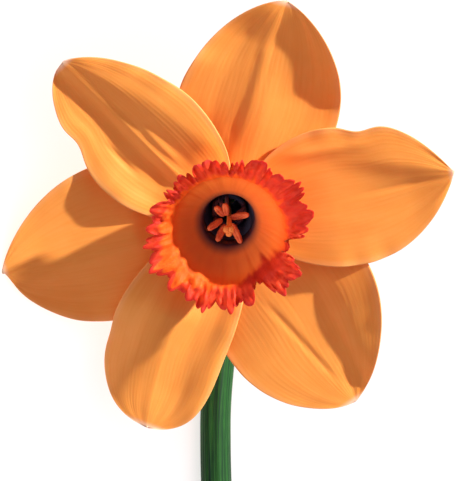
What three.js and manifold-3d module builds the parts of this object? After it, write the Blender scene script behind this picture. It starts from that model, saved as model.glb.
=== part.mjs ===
// A picked daffodil lying on a table: six perianth segments, a frilled cup, the tube behind
// them, six stamens and a style, the ovary, the bent neck, a papery bract and the cut stem.
// The stem lies along +X, and the head leans on the tip of one outer segment.
// Millimetres, +Z up. Origin: middle of the footprint, on the table.

import * as THREE from 'three';
import { mergeVertices } from 'three/addons/utils/BufferGeometryUtils.js';
import Module from 'manifold-3d';

const wasm = await Module();
wasm.setup();

// ---- Driving dimensions ----
// The head is drawn in its own frame: u across the open flower, v up along it and a along the
// flower's axis, out of the cup, from the middle of the throat.
const NOD_DEG = 15; // the flower tips forward this far from square to its stem
const LEAN_DEG = 38; // the head is rolled this far about the stem, down onto one segment
const GAP = 0.3; // pieces that touch keep this much apart

const BLADE = 0.85; // thickness of a perianth segment, along the flower's axis
const CLAW_RADIUS = 5.9; // where a segment leaves the tube
const CLAW_HALF_WIDTH = 5.0;
const INNER_CLAW_TOP = 0.6; // height of the inner segments' face at the claw
const INNER_LIFT = 1.1; // the inner segments rise this much over the first third
const OUTER_SINK = 0.4; // the outer segments fall this much behind them
const OUTER_PRESS = 1.2; // an outer segment's margins are pressed back this far by the inner ones
const POINT_HALF_WIDTH = 0.9; // the small point at a segment's tip
const SEGMENT_ROWS = 16;
const SEGMENT_COLUMNS = 16;

const CUP_WALL = 0.8;
const CUP_BASE_HEIGHT = INNER_CLAW_TOP + GAP;
const CUP_AROUND = 120;
const CUP_RUFFLE = 0.33; // per millimetre that a lobe is longer than this, it stands forward
const CUP_MEAN_REACH = 16.8;
const LOBE_FALL = 1.5; // a lobe's edge drops this much at its own half width
const NOTCH_RADIUS = 12.6; // the deepest cuts in the rim

const TUBE_LENGTH = 18;
const TUBE_MOUTH_RADIUS = 7.0;
const TUBE_FOOT_RADIUS = 3.0;
const TUBE_MOUTH_BORE = 5.6;
const TUBE_FOOT_BORE = 1.6;

const OVARY_LENGTH = 9;
const OVARY_RADIUS = 3.5;
const OVARY_END_RADIUS = 2.4;

const NECK_RADIUS = 2.3;
const NECK_STRAIGHT = 6; // from the end of the bend to the top of the stem

const STEM_LENGTH = 152;
const STEM_HALF_WIDTH = 3.7;
const STEM_HALF_HEIGHT = 3.0;
const STEM_RIB = 0.4; // the two keels that make the stem two-edged
const STEM_RIB_DEG = 108;
const STEM_ARCH = 0.8; // the middle of the stem is this far off the table
const STEM_SIDEWAYS = 4.4; // the stem swings this far sideways behind the neck
const STEM_SWING_LENGTH = 42;
const STEM_BOW = 3; // and its lower part bows back by this much

const BRACT_LENGTH = 36;
const BRACT_THICKNESS = 0.7;

// A segment's outline is given for each side of its midrib, in millimetres: `width` is the
// half width, `widest` where along the blade it is reached, `full` and `sharp` the form of the
// outer part. `lift` is how far the margin stands up from `liftFrom` on, the more evenly the
// smaller `curve`, and `dent`, if any, a bay at `dentAt`. `minus` is the side clockwise of the midrib,
// seen from the front. `folds` are ridges along the blade, or furrows where `height` is
// negative: `foot` and `tip` are their places across it at the claw and at the point, and
// `skirts` how far they reach on the minus and the plus side. They begin at `start`.
const SEGMENTS = [
  {
    name: 'outer_tepal_1', outer: true, angle: 75.8, length: 49.5, sweep: 0, tipLift: 2.4,
    plus: { width: 17.2, widest: 0.45, full: 1.6, sharp: 0.62, lift: 2.6, liftFrom: 0.1, curve: 1.2 },
    minus: { width: 17.4, widest: 0.45, full: 2.0, sharp: 0.7, lift: 6.6, liftFrom: 0.5, curve: 1.2 },
    folds: [{ foot: 0.6, tip: 0.4, height: 2.2, skirts: [7.0, 4.8], start: 0.0, fade: 0.5 }],
  },
  {
    name: 'inner_tepal_1', outer: false, angle: 13.0, length: 49.4, sweep: 0, tipLift: 0.6,
    plus: {
      width: 15.4, widest: 0.4, full: 3.0, sharp: 1.0, lift: 0.6, liftFrom: 0.5, curve: 2.2, dent: 1.8, dentAt: 0.58,
    },
    minus: { width: 15.6, widest: 0.48, full: 2.2, sharp: 0.83, lift: 1.2, liftFrom: 0.05, curve: 2.2 },
    folds: [{ foot: 15.0, tip: 1.6, height: 2.0, skirts: [3.6, 9.0], start: 0.3, fade: 0.6 }],
  },
  {
    name: 'outer_tepal_2', outer: true, angle: -56.2, length: 50.2, sweep: 0, tipLift: 0.6,
    plus: { width: 19.6, widest: 0.42, full: 1.7, sharp: 0.74, lift: 4.3, liftFrom: 0.16, curve: 1.3 },
    minus: { width: 17.8, widest: 0.45, full: 2.3, sharp: 0.66, lift: 0.8, liftFrom: 0.5, curve: 2.2 },
    folds: [{ foot: 9.0, tip: 3.2, height: -0.9, skirts: [4.5, 2.6], start: 0.3, fade: 0.14 }],
  },
  {
    name: 'inner_tepal_2', outer: false, angle: 248.8, length: 49.9, sweep: -2.6, tipLift: 0.6,
    plus: { width: 12.8, widest: 0.5, full: 3.2, sharp: 0.54, lift: 0, liftFrom: 0.2, curve: 2.2 },
    minus: {
      width: 12.9, widest: 0.5, full: 3.4, sharp: 0.5, lift: -6.0, liftFrom: 0.35, curve: 1.2, dent: 0.5, dentAt: 0.64,
    },
    folds: [
      { foot: 11.5, tip: 7.0, height: 1.4, skirts: [3.6, 3.0], start: 0.15, fade: 0.14 },
      { foot: -1.0, tip: -10.6, height: 2.3, skirts: [6.0, 7.0], start: 0.22, fade: 0.2 },
    ],
  },
  {
    name: 'outer_tepal_3', outer: true, angle: 193.4, length: 50.5, sweep: 0, tipLift: 0.6,
    plus: { width: 17.5, widest: 0.5, full: 2.3, sharp: 0.76, lift: -3.4, liftFrom: 0.3, curve: 1.3 },
    minus: { width: 17.6, widest: 0.47, full: 1.7, sharp: 0.78, lift: 0.9, liftFrom: 0.3, curve: 2.2 },
    folds: [{ foot: -3.4, tip: 4.0, height: 1.8, skirts: [7.0, 4.0], start: 0.2, fade: 0.14 }],
  },
  {
    name: 'inner_tepal_3', outer: false, angle: 135.4, length: 49.6, sweep: 0, tipLift: 0.4,
    plus: {
      width: 13.9, widest: 0.44, full: 1.8, sharp: 0.5, lift: 0.3, liftFrom: 0.3, curve: 1.2, dent: 1.6, dentAt: 0.655,
    },
    minus: { width: 13.7, widest: 0.42, full: 1.6, sharp: 0.64, lift: 0, liftFrom: 0.2, curve: 2.2 },
    folds: [
      { foot: -12.0, tip: -3.4, height: 1.9, skirts: [10.0, 5.4], start: 0.1, fade: 0.14 },
      { foot: 3.8, tip: 2.3, height: -1.1, skirts: [3.0, 6.0], start: 0.1, fade: 0.14 },
      { foot: 0, tip: 0, height: -1.8, skirts: [40, 40], start: 0.3, fade: 0.4 },
    ],
  },
];
const DENT_LENGTH = 0.09;

// The frill of the cup: where each lobe stands, in degrees round the axis, how far it reaches
// from the axis, and its half width in degrees.
const LOBES = [
  [5.2, 16.4, 6.5], [18.5, 18.4, 8], [37.7, 18.9, 9], [52, 17.3, 8], [67.6, 17.9, 9], [81, 16.3, 8],
  [97.4, 16.3, 7], [110.7, 17.2, 8], [131, 16.5, 8], [146.3, 15.9, 8], [162.6, 17.1, 9],
  [177, 17.2, 7], [189.7, 18.2, 5], [206.5, 18.7, 8], [224.2, 17.7, 8], [237.5, 17.2, 7],
  [250.6, 18.1, 7], [268.6, 17.4, 8], [284.5, 16.4, 7], [314.5, 17.4, 7], [328.5, 17.4, 7.5],
];

// The inside of the cup, from its foot to just under the frill: [radius, height].
const CUP_INSIDE = [[5.8, CUP_BASE_HEIGHT], [6.9, 2.1], [8.5, 3.9], [10.1, 6.1], [11.4, 8.5], [12.4, 11.0]];
const CUP_RIM_HEIGHT = 13.4;
const CUP_HIGH_SIDE_DEG = 33; // on this side the cup is deeper, and shallower on the other
const CUP_HIGH_SIDE = 0.21;

// Anthers, seen from the front: where the middle of each stands, its direction round the axis
// and its lean from the axis, in degrees. The stigma stands among them.
const ANTHERS = [
  [2.3, 0.75, 18, 58], [-0.7, 2.2, 98, 42], [-2.0, 1.8, 122, 40],
  [-3.0, -1.1, 204, 42], [-1.7, -3.0, 236, 40], [1.6, -3.1, 297, 66],
];
const ANTHER_LENGTH = 4.2;
const ANTHER_ROLL_DEG = 12; // about its own length
const ANTHER_RADIUS = 0.85;
const ANTHER_HEIGHT = 0.4;
const FILAMENT_RADIUS = 0.52;
const FILAMENT_FOOT = -10;
const STIGMA_DEG = 270;
const STIGMA_REACH = 1.5;
const STIGMA_HEIGHT = 4.2;
const STYLE_RADIUS = 0.5;

const PETAL = new THREE.MeshStandardMaterial({ color: 0xfb9d50, roughness: 0.6 });
const CUP = new THREE.MeshStandardMaterial({ color: 0xe85a2c, roughness: 0.5 });
const TUBE_GREEN = new THREE.MeshStandardMaterial({ color: 0xa9a53c, roughness: 0.55 });
const ANTHER_ORANGE = new THREE.MeshStandardMaterial({ color: 0xb8552b, roughness: 0.8 });
const STIGMA_YELLOW = new THREE.MeshStandardMaterial({ color: 0xd2822f, roughness: 0.7 });
const LEAF_GREEN = new THREE.MeshStandardMaterial({ color: 0x46713f, roughness: 0.5 });
const PAPER_BROWN = new THREE.MeshStandardMaterial({ color: 0xb89a6a, roughness: 0.85 });

// ---- Small helpers ----
const rad = THREE.MathUtils.degToRad;
const lerp = THREE.MathUtils.lerp;
const smooth = (from, to, x) => THREE.MathUtils.smoothstep(x, from, to);
const bell = (x) => Math.exp(-x * x);
const polar = (radius, degrees, height) =>
  new THREE.Vector3(radius * Math.cos(rad(degrees)), radius * Math.sin(rad(degrees)), height);

function geometryOf(points, triangles) {
  const geometry = new THREE.BufferGeometry();
  geometry.setAttribute('position', new THREE.Float32BufferAttribute(points.flatMap((p) => p.toArray()), 3));
  const insideOut = volumeOf(points, triangles) < 0;
  geometry.setIndex(insideOut ? triangles.flatMap(([a, b, c]) => [a, c, b]) : triangles.flat());
  geometry.computeVertexNormals();
  return geometry;
}

function volumeOf(points, triangles) {
  const cross = new THREE.Vector3();
  const sixth = ([a, b, c]) => points[a].dot(cross.crossVectors(points[b], points[c])) / 6;
  return triangles.reduce((sum, corners) => sum + sixth(corners), 0);
}

// A thin sheet with two faces split into triangles alike. faceAt(row, column) gives the front
// point and backAt the one behind it. A closed sheet runs round and meets itself.
function sheet(rows, columns, closed, faceAt, backAt) {
  const across = closed ? columns : columns + 1;
  const points = [];
  for (const pointAt of [faceAt, backAt]) {
    for (let i = 0; i <= rows; i += 1) {
      for (let j = 0; j < across; j += 1) points.push(pointAt(i / rows, j / columns));
    }
  }
  const behind = (rows + 1) * across;
  const front = (i, j) => i * across + (j % across);
  const back = (i, j) => behind + front(i, j);
  const triangles = [];
  for (let i = 0; i < rows; i += 1) {
    for (let j = 0; j < columns; j += 1) {
      triangles.push([front(i, j), front(i + 1, j), front(i + 1, j + 1)]);
      triangles.push([front(i, j), front(i + 1, j + 1), front(i, j + 1)]);
      triangles.push([back(i, j), back(i + 1, j + 1), back(i + 1, j)]);
      triangles.push([back(i, j), back(i, j + 1), back(i + 1, j + 1)]);
    }
    if (!closed) {
      triangles.push([front(i, 0), back(i + 1, 0), front(i + 1, 0)]);
      triangles.push([front(i, 0), back(i, 0), back(i + 1, 0)]);
      const last = columns;
      triangles.push([front(i, last), front(i + 1, last), back(i + 1, last)]);
      triangles.push([front(i, last), back(i + 1, last), back(i, last)]);
    }
  }
  for (let j = 0; j < columns; j += 1) {
    triangles.push([front(0, j), front(0, j + 1), back(0, j + 1)], [front(0, j), back(0, j + 1), back(0, j)]);
    triangles.push([front(rows, j), back(rows, j + 1), front(rows, j + 1)]);
    triangles.push([front(rows, j), back(rows, j), back(rows, j + 1)]);
  }
  return geometryOf(points, triangles);
}

// A solid that runs along a list of stations, with a closed section at each.
// sectionAt(k, turn) gives the point of station k at an angle round it.
function sweptSolid(stations, sides, centreAt, sectionAt) {
  const points = [];
  for (let k = 0; k < stations; k += 1) {
    for (let j = 0; j < sides; j += 1) points.push(sectionAt(k, (2 * Math.PI * j) / sides));
  }
  points.push(centreAt(0), centreAt(stations - 1));
  const start = stations * sides;
  const end = start + 1;
  const triangles = [];
  for (let j = 0; j < sides; j += 1) {
    const next = (j + 1) % sides;
    for (let k = 0; k < stations - 1; k += 1) {
      const here = k * sides;
      const there = here + sides;
      triangles.push([here + j, there + j, there + next], [here + j, there + next, here + next]);
    }
    triangles.push([start, j, next], [end, end - 1 - sides + next, end - 1 - sides + j]);
  }
  return geometryOf(points, triangles);
}

function piece(name, geometry, material) {
  const mesh = new THREE.Mesh(geometry, material);
  mesh.name = name;
  return mesh;
}

// ---- The perianth segments ----
function halfWidth(side, s) {
  const swell = Math.sin((Math.PI / 2) * Math.min(1, s / side.widest)) ** 0.55;
  const inner = lerp(CLAW_HALF_WIDTH, side.width, swell);
  const outward = Math.max(0, (s - side.widest) / (1 - side.widest));
  const taper = Math.max(0, 1 - outward ** side.full) ** side.sharp;
  const dent = side.dent ? side.dent * bell((s - side.dentAt) / DENT_LENGTH) : 0;
  const point = POINT_HALF_WIDTH * Math.sqrt(Math.max(0, 1.02 - s)) + 0.25;
  return Math.max(inner * taper - dent, point);
}

function foldHeight(fold, s, sideways) {
  const away = sideways - lerp(fold.foot, fold.tip, s);
  const skirt = fold.skirts[away < 0 ? 0 : 1];
  return fold.height * smooth(fold.start, fold.start + fold.fade, s) * bell(away / skirt);
}

// Height of a segment's face: s runs from claw to tip, q from one margin (-1) to the other (1),
// where the half width is `half`.
function faceHeight(segment, s, q, half) {
  const side = q < 0 ? segment.minus : segment.plus;
  const edge = Math.abs(q);
  const base = segment.outer
    ? INNER_CLAW_TOP - BLADE - GAP - OUTER_SINK * smooth(0, 0.25, s)
    : INNER_CLAW_TOP + INNER_LIFT * smooth(0, 0.4, s);
  const out = (edge * half) / side.width;
  const margin = side.lift * smooth(side.liftFrom, side.liftFrom + 0.35, s) * out ** side.curve;
  const pressedPart = smooth(0, 0.12, s) * (1 - smooth(0.4, 0.62, s));
  const pressed = segment.outer ? OUTER_PRESS * edge ** 2 * pressedPart : 0;
  const folds = segment.folds.reduce((sum, fold) => sum + foldHeight(fold, s, q * half), 0);
  return base + margin - pressed + folds + segment.tipLift * smooth(0.75, 1, s);
}

function segmentGeometry(segment) {
  const along = polar(1, segment.angle, 0);
  const aside = polar(1, segment.angle + 90, 0);
  const faceAt = (s, across) => {
    const q = 2 * across - 1;
    const half = halfWidth(q < 0 ? segment.minus : segment.plus, s);
    const sideways = q * half + segment.sweep * Math.sin(Math.PI * s) ** 0.8;
    return along.clone().multiplyScalar(lerp(CLAW_RADIUS, segment.length, s))
      .addScaledVector(aside, sideways).setZ(faceHeight(segment, s, q, half));
  };
  const backAt = (s, across) => faceAt(s, across).add(new THREE.Vector3(0, 0, -BLADE));
  return sheet(SEGMENT_ROWS, SEGMENT_COLUMNS, false, faceAt, backAt);
}

// ---- The cup ----
function rimRadius(degrees) {
  const reaches = LOBES.map(([at, reach, half]) => {
    const away = Math.abs(((degrees - at + 540) % 360) - 180);
    return reach - LOBE_FALL * (away / half) ** 2;
  });
  return Math.max(NOTCH_RADIUS, ...reaches);
}

function cupGeometry() {
  const rows = CUP_INSIDE.length + 1;
  const insideAt = (row, degrees) => {
    const k = Math.round(row * rows);
    if (k < CUP_INSIDE.length) return CUP_INSIDE[k];
    const [throat, under] = CUP_INSIDE[CUP_INSIDE.length - 1];
    const reach = rimRadius(degrees);
    const height = CUP_RIM_HEIGHT + CUP_RUFFLE * (reach - CUP_MEAN_REACH);
    return k === rows ? [reach, height] : [lerp(throat, reach, 0.5), lerp(under, height, 0.6)];
  };
  const faceAt = (row, round) => {
    const [radius, height] = insideAt(row, 360 * round);
    const rise = 1 + CUP_HIGH_SIDE * Math.cos(rad(360 * round - CUP_HIGH_SIDE_DEG));
    return polar(radius, 360 * round, CUP_BASE_HEIGHT + rise * (height - CUP_BASE_HEIGHT));
  };
  // The outside keeps the wall's thickness square to the slope: level at the foot, and
  // turning under the flare.
  const backAt = (row, round) => {
    const slope = lerp(rad(25), rad(50), smooth(0.5, 1, row));
    const face = faceAt(row, round);
    const outward = row === 0 ? CUP_WALL : CUP_WALL * Math.cos(slope);
    const down = row === 0 ? 0 : CUP_WALL * Math.sin(slope);
    return face.add(polar(outward, 360 * round, -down));
  };
  return sheet(rows, CUP_AROUND, true, faceAt, backAt);
}

// ---- Tube, stamens, style, ovary ----
const TUBE_TOP = INNER_CLAW_TOP - 2 * BLADE - 2 * GAP;
const TUBE_FOOT = TUBE_TOP - TUBE_LENGTH;
const OVARY_TOP = TUBE_FOOT - GAP;
const OVARY_MIDDLE = OVARY_TOP - OVARY_LENGTH / 2;
const OVARY_FOOT = OVARY_TOP - OVARY_LENGTH;

// Lathes are drawn round +Y and stood up along the flower's axis.
function turned(profile, segments) {
  const outline = profile.map(([radius, height]) => new THREE.Vector2(radius, height));
  const geometry = new THREE.LatheGeometry(outline, segments).rotateX(Math.PI / 2);
  for (const attribute of ['normal', 'uv']) geometry.deleteAttribute(attribute);
  return mergeVertices(geometry, 1e-4);
}

const boreAt = (height) => lerp(TUBE_FOOT_BORE, TUBE_MOUTH_BORE, ((height - TUBE_FOOT) / TUBE_LENGTH) ** 0.8);

function tubeGeometry() {
  const flare = (part) => lerp(TUBE_FOOT_RADIUS, TUBE_MOUTH_RADIUS, part ** 1.2);
  const parts = [0, 0.25, 0.5, 0.75, 1];
  const heightAt = (part) => TUBE_FOOT + part * TUBE_LENGTH;
  const outside = parts.map((part) => [flare(part), heightAt(part)]);
  const inside = parts.map((part) => [boreAt(heightAt(part)), heightAt(part)]).reverse();
  return turned([...outside, ...inside, outside[0]], 24);
}

function ovaryGeometry() {
  const profile = [[0, OVARY_FOOT]];
  const steps = 8;
  for (let k = 0; k <= steps; k += 1) {
    const part = k / steps;
    const bulge = Math.sin(Math.PI * part) ** 0.8;
    profile.push([lerp(OVARY_END_RADIUS, OVARY_RADIUS, bulge), OVARY_FOOT + part * OVARY_LENGTH]);
  }
  profile.push([0, OVARY_TOP]);
  return turned(profile, 18);
}

function solidOf(geometry) {
  const merged = mergeVertices(geometry.clone().deleteAttribute('normal').deleteAttribute('uv'), 1e-4);
  return new wasm.Manifold(new wasm.Mesh({
    numProp: 3,
    vertProperties: new Float32Array(merged.attributes.position.array),
    triVerts: new Uint32Array(merged.index.array),
  }));
}

function geometryFrom(solid) {
  const mesh = solid.simplify(0.03).getMesh();
  const geometry = new THREE.BufferGeometry();
  geometry.setAttribute('position', new THREE.Float32BufferAttribute(mesh.vertProperties, 3));
  geometry.setIndex([...mesh.triVerts]);
  geometry.computeVertexNormals();
  return geometry;
}

// A round rod from point to point, with a radius at each.
function rod(path, radii, sides) {
  const last = path.length - 1;
  const frames = path.map((point, k) => {
    const way = path[Math.min(k + 1, last)].clone().sub(path[Math.max(k - 1, 0)]).normalize();
    const side = new THREE.Vector3(0, 0, 1).cross(way);
    if (side.lengthSq() < 1e-6) side.set(1, 0, 0);
    side.normalize();
    return { side, up: way.clone().cross(side) };
  });
  const sectionAt = (k, turn) => path[k].clone()
    .addScaledVector(frames[k].side, radii[k] * Math.cos(turn))
    .addScaledVector(frames[k].up, radii[k] * Math.sin(turn));
  return sweptSolid(path.length, sides, (k) => path[k].clone(), sectionAt);
}

// A filament stands free of the tube's wall from a thin ring of grown-together feet.
function stamensGeometry() {
  const collarTop = FILAMENT_FOOT + 3;
  const collarOutside = boreAt(FILAMENT_FOOT) - GAP;
  const collar = turned([
    [collarOutside, FILAMENT_FOOT], [collarOutside, collarTop],
    [collarOutside - 0.9, collarTop], [collarOutside - 0.9, FILAMENT_FOOT], [collarOutside, FILAMENT_FOOT],
  ], 24);
  const footRadius = collarOutside - 0.5;
  let solid = solidOf(collar);
  for (const [x, y, direction, leanDeg] of ANTHERS) {
    const middle = new THREE.Vector3(x, y, ANTHER_HEIGHT);
    const filament = rod(
      [
        polar(footRadius, direction, FILAMENT_FOOT + 1), polar(footRadius, direction, collarTop + 2),
        new THREE.Vector3(0.8 * x, 0.8 * y, -2.4), middle.clone(),
      ],
      [FILAMENT_RADIUS, FILAMENT_RADIUS, FILAMENT_RADIUS, FILAMENT_RADIUS * 0.8],
      7,
    );
    const anther = new THREE.SphereGeometry(1, 8, 6)
      .rotateY(rad(ANTHER_ROLL_DEG)).scale(ANTHER_RADIUS, ANTHER_LENGTH / 2, ANTHER_RADIUS * 0.9)
      .rotateX(Math.PI / 2).rotateY(rad(leanDeg)).rotateZ(rad(direction))
      .translate(middle.x, middle.y, middle.z);
    solid = solid.add(solidOf(filament)).add(solidOf(anther));
  }
  return geometryFrom(solid);
}

function styleGeometry() {
  const head = polar(STIGMA_REACH, STIGMA_DEG, STIGMA_HEIGHT);
  const foot = new THREE.Vector3(0, 0, OVARY_TOP + GAP);
  const lower = new THREE.Vector3(0, 0, -8);
  const path = [foot, lower, polar(0.05, STIGMA_DEG, -1.5), polar(0.5, STIGMA_DEG, 1.6), head];
  let solid = solidOf(rod(path, path.map(() => STYLE_RADIUS), 6));
  for (const turn of [30, 150, 270]) {
    const middle = polar(0.55, turn, 0).add(head);
    const lobe = new THREE.SphereGeometry(0.75, 8, 6).translate(middle.x, middle.y, middle.z);
    solid = solid.add(solidOf(lobe));
  }
  return geometryFrom(solid);
}

// ---- How the head lies on the table ----
const nod = rad(NOD_DEG);
const lean = rad(LEAN_DEG);
const across = new THREE.Vector3(0, Math.cos(lean), Math.sin(lean));
const upward = new THREE.Vector3(
  -Math.cos(nod), -Math.sin(lean) * Math.sin(nod), Math.cos(lean) * Math.sin(nod),
);
const axis = new THREE.Vector3().crossVectors(across, upward);
const headTurn = new THREE.Matrix4().makeBasis(across, upward, axis);

const head = new THREE.Group();
for (const segment of SEGMENTS) head.add(piece(segment.name, segmentGeometry(segment), PETAL));
head.add(piece('corona', cupGeometry(), CUP));
head.add(piece('floral_tube', tubeGeometry(), TUBE_GREEN));
head.add(piece('stamens', stamensGeometry(), ANTHER_ORANGE));
head.add(piece('style', styleGeometry(), STIGMA_YELLOW));
head.add(piece('ovary', ovaryGeometry(), LEAF_GREEN));

// The segments alone touch the table, with the tip that reaches lowest.
function lowestPoint(meshes) {
  const point = new THREE.Vector3();
  let lowest = Infinity;
  for (const mesh of meshes) {
    const places = mesh.geometry.attributes.position;
    for (let k = 0; k < places.count; k += 1) {
      lowest = Math.min(lowest, point.fromBufferAttribute(places, k).applyMatrix4(headTurn).z);
    }
  }
  return lowest;
}
const headHeight = -lowestPoint(head.children);
head.quaternion.setFromRotationMatrix(headTurn);
head.position.set(0, 0, headHeight);
const inRow = (point) => point.applyMatrix4(headTurn).add(head.position);

// ---- Stem section: a flattened round with two keels, standing on one of them ----
const STEM_SIDES = 20;
function stemSection(turn) {
  const degrees = THREE.MathUtils.radToDeg(turn);
  const keelAway = Math.min(
    ...[STEM_RIB_DEG, STEM_RIB_DEG + 180].map((at) => Math.abs(((degrees - at + 540) % 360) - 180)),
  );
  const keel = 1 + (STEM_RIB / STEM_HALF_HEIGHT) * bell(keelAway / 16);
  return [STEM_HALF_WIDTH * keel * Math.cos(turn), STEM_HALF_HEIGHT * keel * Math.sin(turn)];
}
const stemTurns = Array.from({ length: STEM_SIDES }, (_, j) => (2 * Math.PI * j) / STEM_SIDES);
const stemHeight = -Math.min(...stemTurns.map((turn) => stemSection(turn)[1]));

// ---- Neck: out of the ovary, round a bend and down onto the line of the stem ----
const backwards = axis.clone().negate();
const stemWay = new THREE.Vector3(1, 0, 0);
const neckTurn = backwards.angleTo(stemWay);
const inward = stemWay.clone()
  .addScaledVector(backwards, -Math.cos(neckTurn)).divideScalar(Math.sin(neckTurn));
const neckStart = inRow(new THREE.Vector3(0, 0, OVARY_FOOT - GAP));
const bendRadius = (neckStart.z - stemHeight) / (-backwards.z * Math.tan(neckTurn / 2));
const bendAt = (angle) => neckStart.clone()
  .addScaledVector(backwards, bendRadius * Math.sin(angle))
  .addScaledVector(inward, bendRadius * (1 - Math.cos(angle)));
const neckEnd = bendAt(neckTurn).addScaledVector(stemWay, NECK_STRAIGHT);

function neckGeometry() {
  const bends = 9;
  const path = Array.from({ length: bends + 1 }, (_, k) => bendAt((neckTurn * k) / bends));
  path.push(bendAt(neckTurn).addScaledVector(stemWay, NECK_STRAIGHT / 2), neckEnd.clone());
  // Sections turn with the bend, about the line square to it.
  const hinge = backwards.clone().cross(stemWay).normalize();
  const sectionAt = (k, turn) => {
    const way = backwards.clone().applyAxisAngle(hinge, Math.min(neckTurn, (neckTurn * k) / bends));
    const side = hinge.clone().cross(way);
    const radius = NECK_RADIUS + 0.35 * smooth(0.5, 1, k / (path.length - 1));
    return path[k].clone()
      .addScaledVector(hinge, radius * Math.cos(turn)).addScaledVector(side, radius * Math.sin(turn));
  };
  return sweptSolid(path.length, 14, (k) => path[k].clone(), sectionAt);
}

// ---- Stem ----
const stemTop = neckEnd.clone().addScaledVector(stemWay, GAP);
function stemCentre(part) {
  const along = part * STEM_LENGTH;
  const back = STEM_BOW * Math.sin(Math.PI * smooth(0.3, 1, part));
  const swing = STEM_SIDEWAYS * smooth(0, STEM_SWING_LENGTH, along) - back;
  const height = stemHeight + STEM_ARCH * Math.sin(Math.PI * part);
  return new THREE.Vector3(stemTop.x + along, stemTop.y - swing, height);
}

function stemGeometry() {
  const stations = 21;
  const centreAt = (k) => stemCentre(k / (stations - 1));
  const sectionAt = (k, turn) => {
    const [sideways, up] = stemSection(turn);
    return centreAt(k).add(new THREE.Vector3(0, sideways, up));
  };
  return sweptSolid(stations, STEM_SIDES, centreAt, sectionAt);
}

// ---- Bract: grows round the top of the stem and runs on past the neck ----
function bractGeometry() {
  const start = stemTop.clone().setX(stemTop.x + 3);
  const surfaceAt = (depth) => (s, aroundPart) => {
    const half = lerp(62, 9, smooth(0.05, 1, s));
    const turn = rad(lerp(38, 48, s) + (2 * aroundPart - 1) * half);
    const out = lerp(STEM_HALF_WIDTH + STEM_RIB + GAP, 8.0, smooth(0, 0.6, s)) + depth;
    const wave = 0.5 * Math.sin(9 * s) * Math.sin(5 * aroundPart);
    const radius = out + wave;
    return start.clone()
      .add(new THREE.Vector3(-s * BRACT_LENGTH, radius * Math.cos(turn), radius * Math.sin(turn)));
  };
  return sheet(12, 6, false, surfaceAt(BRACT_THICKNESS), surfaceAt(0));
}

// ---- The whole flower, with its footprint's middle at the origin ----
const flower = new THREE.Group();
flower.add(head);
flower.add(piece('pedicel', neckGeometry(), LEAF_GREEN));
flower.add(piece('spathe', bractGeometry(), PAPER_BROWN));
flower.add(piece('stem', stemGeometry(), LEAF_GREEN));
flower.updateMatrixWorld(true);
const reach = new THREE.Box3().setFromObject(flower, true);
flower.position.set(-(reach.min.x + reach.max.x) / 2, -(reach.min.y + reach.max.y) / 2, -reach.min.z);
flower.updateMatrixWorld(true);

export default flower;
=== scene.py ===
"""Looks for a picked daffodil that lies on a table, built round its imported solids.

The head is drawn in its own frame in millimetres, as the solids are: across the open flower, up
along it and out of the cup, from the middle of the throat. Each finished mesh is in metres, in
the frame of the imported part, with its object at the origin.
"""

import logging
import math
from dataclasses import dataclass, field
from enum import Enum
from typing import Callable, Optional, Sequence

import bpy
import numpy as np
from mathutils import Matrix, Vector


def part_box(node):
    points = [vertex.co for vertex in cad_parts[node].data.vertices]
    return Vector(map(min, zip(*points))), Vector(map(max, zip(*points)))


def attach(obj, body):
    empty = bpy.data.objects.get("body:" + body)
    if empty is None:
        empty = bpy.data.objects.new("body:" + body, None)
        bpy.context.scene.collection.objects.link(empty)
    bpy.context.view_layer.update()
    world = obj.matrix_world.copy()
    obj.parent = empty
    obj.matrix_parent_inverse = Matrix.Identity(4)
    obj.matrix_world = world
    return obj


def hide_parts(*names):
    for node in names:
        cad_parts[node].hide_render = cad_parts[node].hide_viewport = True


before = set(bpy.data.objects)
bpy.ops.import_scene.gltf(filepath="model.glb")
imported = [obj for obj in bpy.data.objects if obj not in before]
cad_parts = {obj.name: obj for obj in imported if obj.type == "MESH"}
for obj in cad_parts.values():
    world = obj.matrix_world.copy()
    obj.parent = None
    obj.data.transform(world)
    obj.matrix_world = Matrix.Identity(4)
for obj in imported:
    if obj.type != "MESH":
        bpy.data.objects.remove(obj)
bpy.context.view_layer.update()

LOG = logging.getLogger("daffodil")
BODY = "root"
MM = 0.001
TAU = 2 * math.pi
WAVE_PACES = (0.5, 1.4)
WAVE_PEAK = 1.2
# How far from its end a round form's first ring stands, in radians.
POLE = 0.02
# Numbers of the colour sockets of the Mix node, and of the number sockets of the Random Value node.
MIX_AMOUNT, MIX_A, MIX_B, MIX_RESULT = 0, 6, 7, 2
RANDOM_LEAST, RANDOM_MOST, RANDOM_RESULT = 2, 3, 1
VECTOR, FLOAT, INTEGER = "NodeSocketVector", "NodeSocketFloat", "NodeSocketInt"
GEOMETRY, OBJECT, MATERIAL = "NodeSocketGeometry", "NodeSocketObject", "NodeSocketMaterial"

Array = np.ndarray
Colour = tuple[float, float, float]
Sockets = Sequence[tuple[str, str]]
GroupParts = tuple[bpy.types.NodeTree, "Nodes", bpy.types.Node, bpy.types.Node]


# ---- Small helpers ----
def smooth(start: float, end: float, x: Array | float) -> Array | float:
    """An eased step from 0 at start to 1 at end."""
    part = np.clip((x - start) / (end - start), 0.0, 1.0)
    return part * part * (3 - 2 * part)


def bell(x: Array | float) -> Array | float:
    """A bell curve of height 1 and width about 1."""
    return np.exp(-x * x)


def lerp(a: Array | float, b: Array | float, part: Array | float) -> Array | float:
    """The value that lies part of the way from a to b."""
    return a + (b - a) * part


def grid(*coordinates: Array | float) -> Array:
    """Coordinates of the same grid, side by side along a last axis."""
    return np.stack(np.broadcast_arrays(*coordinates), axis=-1)


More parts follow.
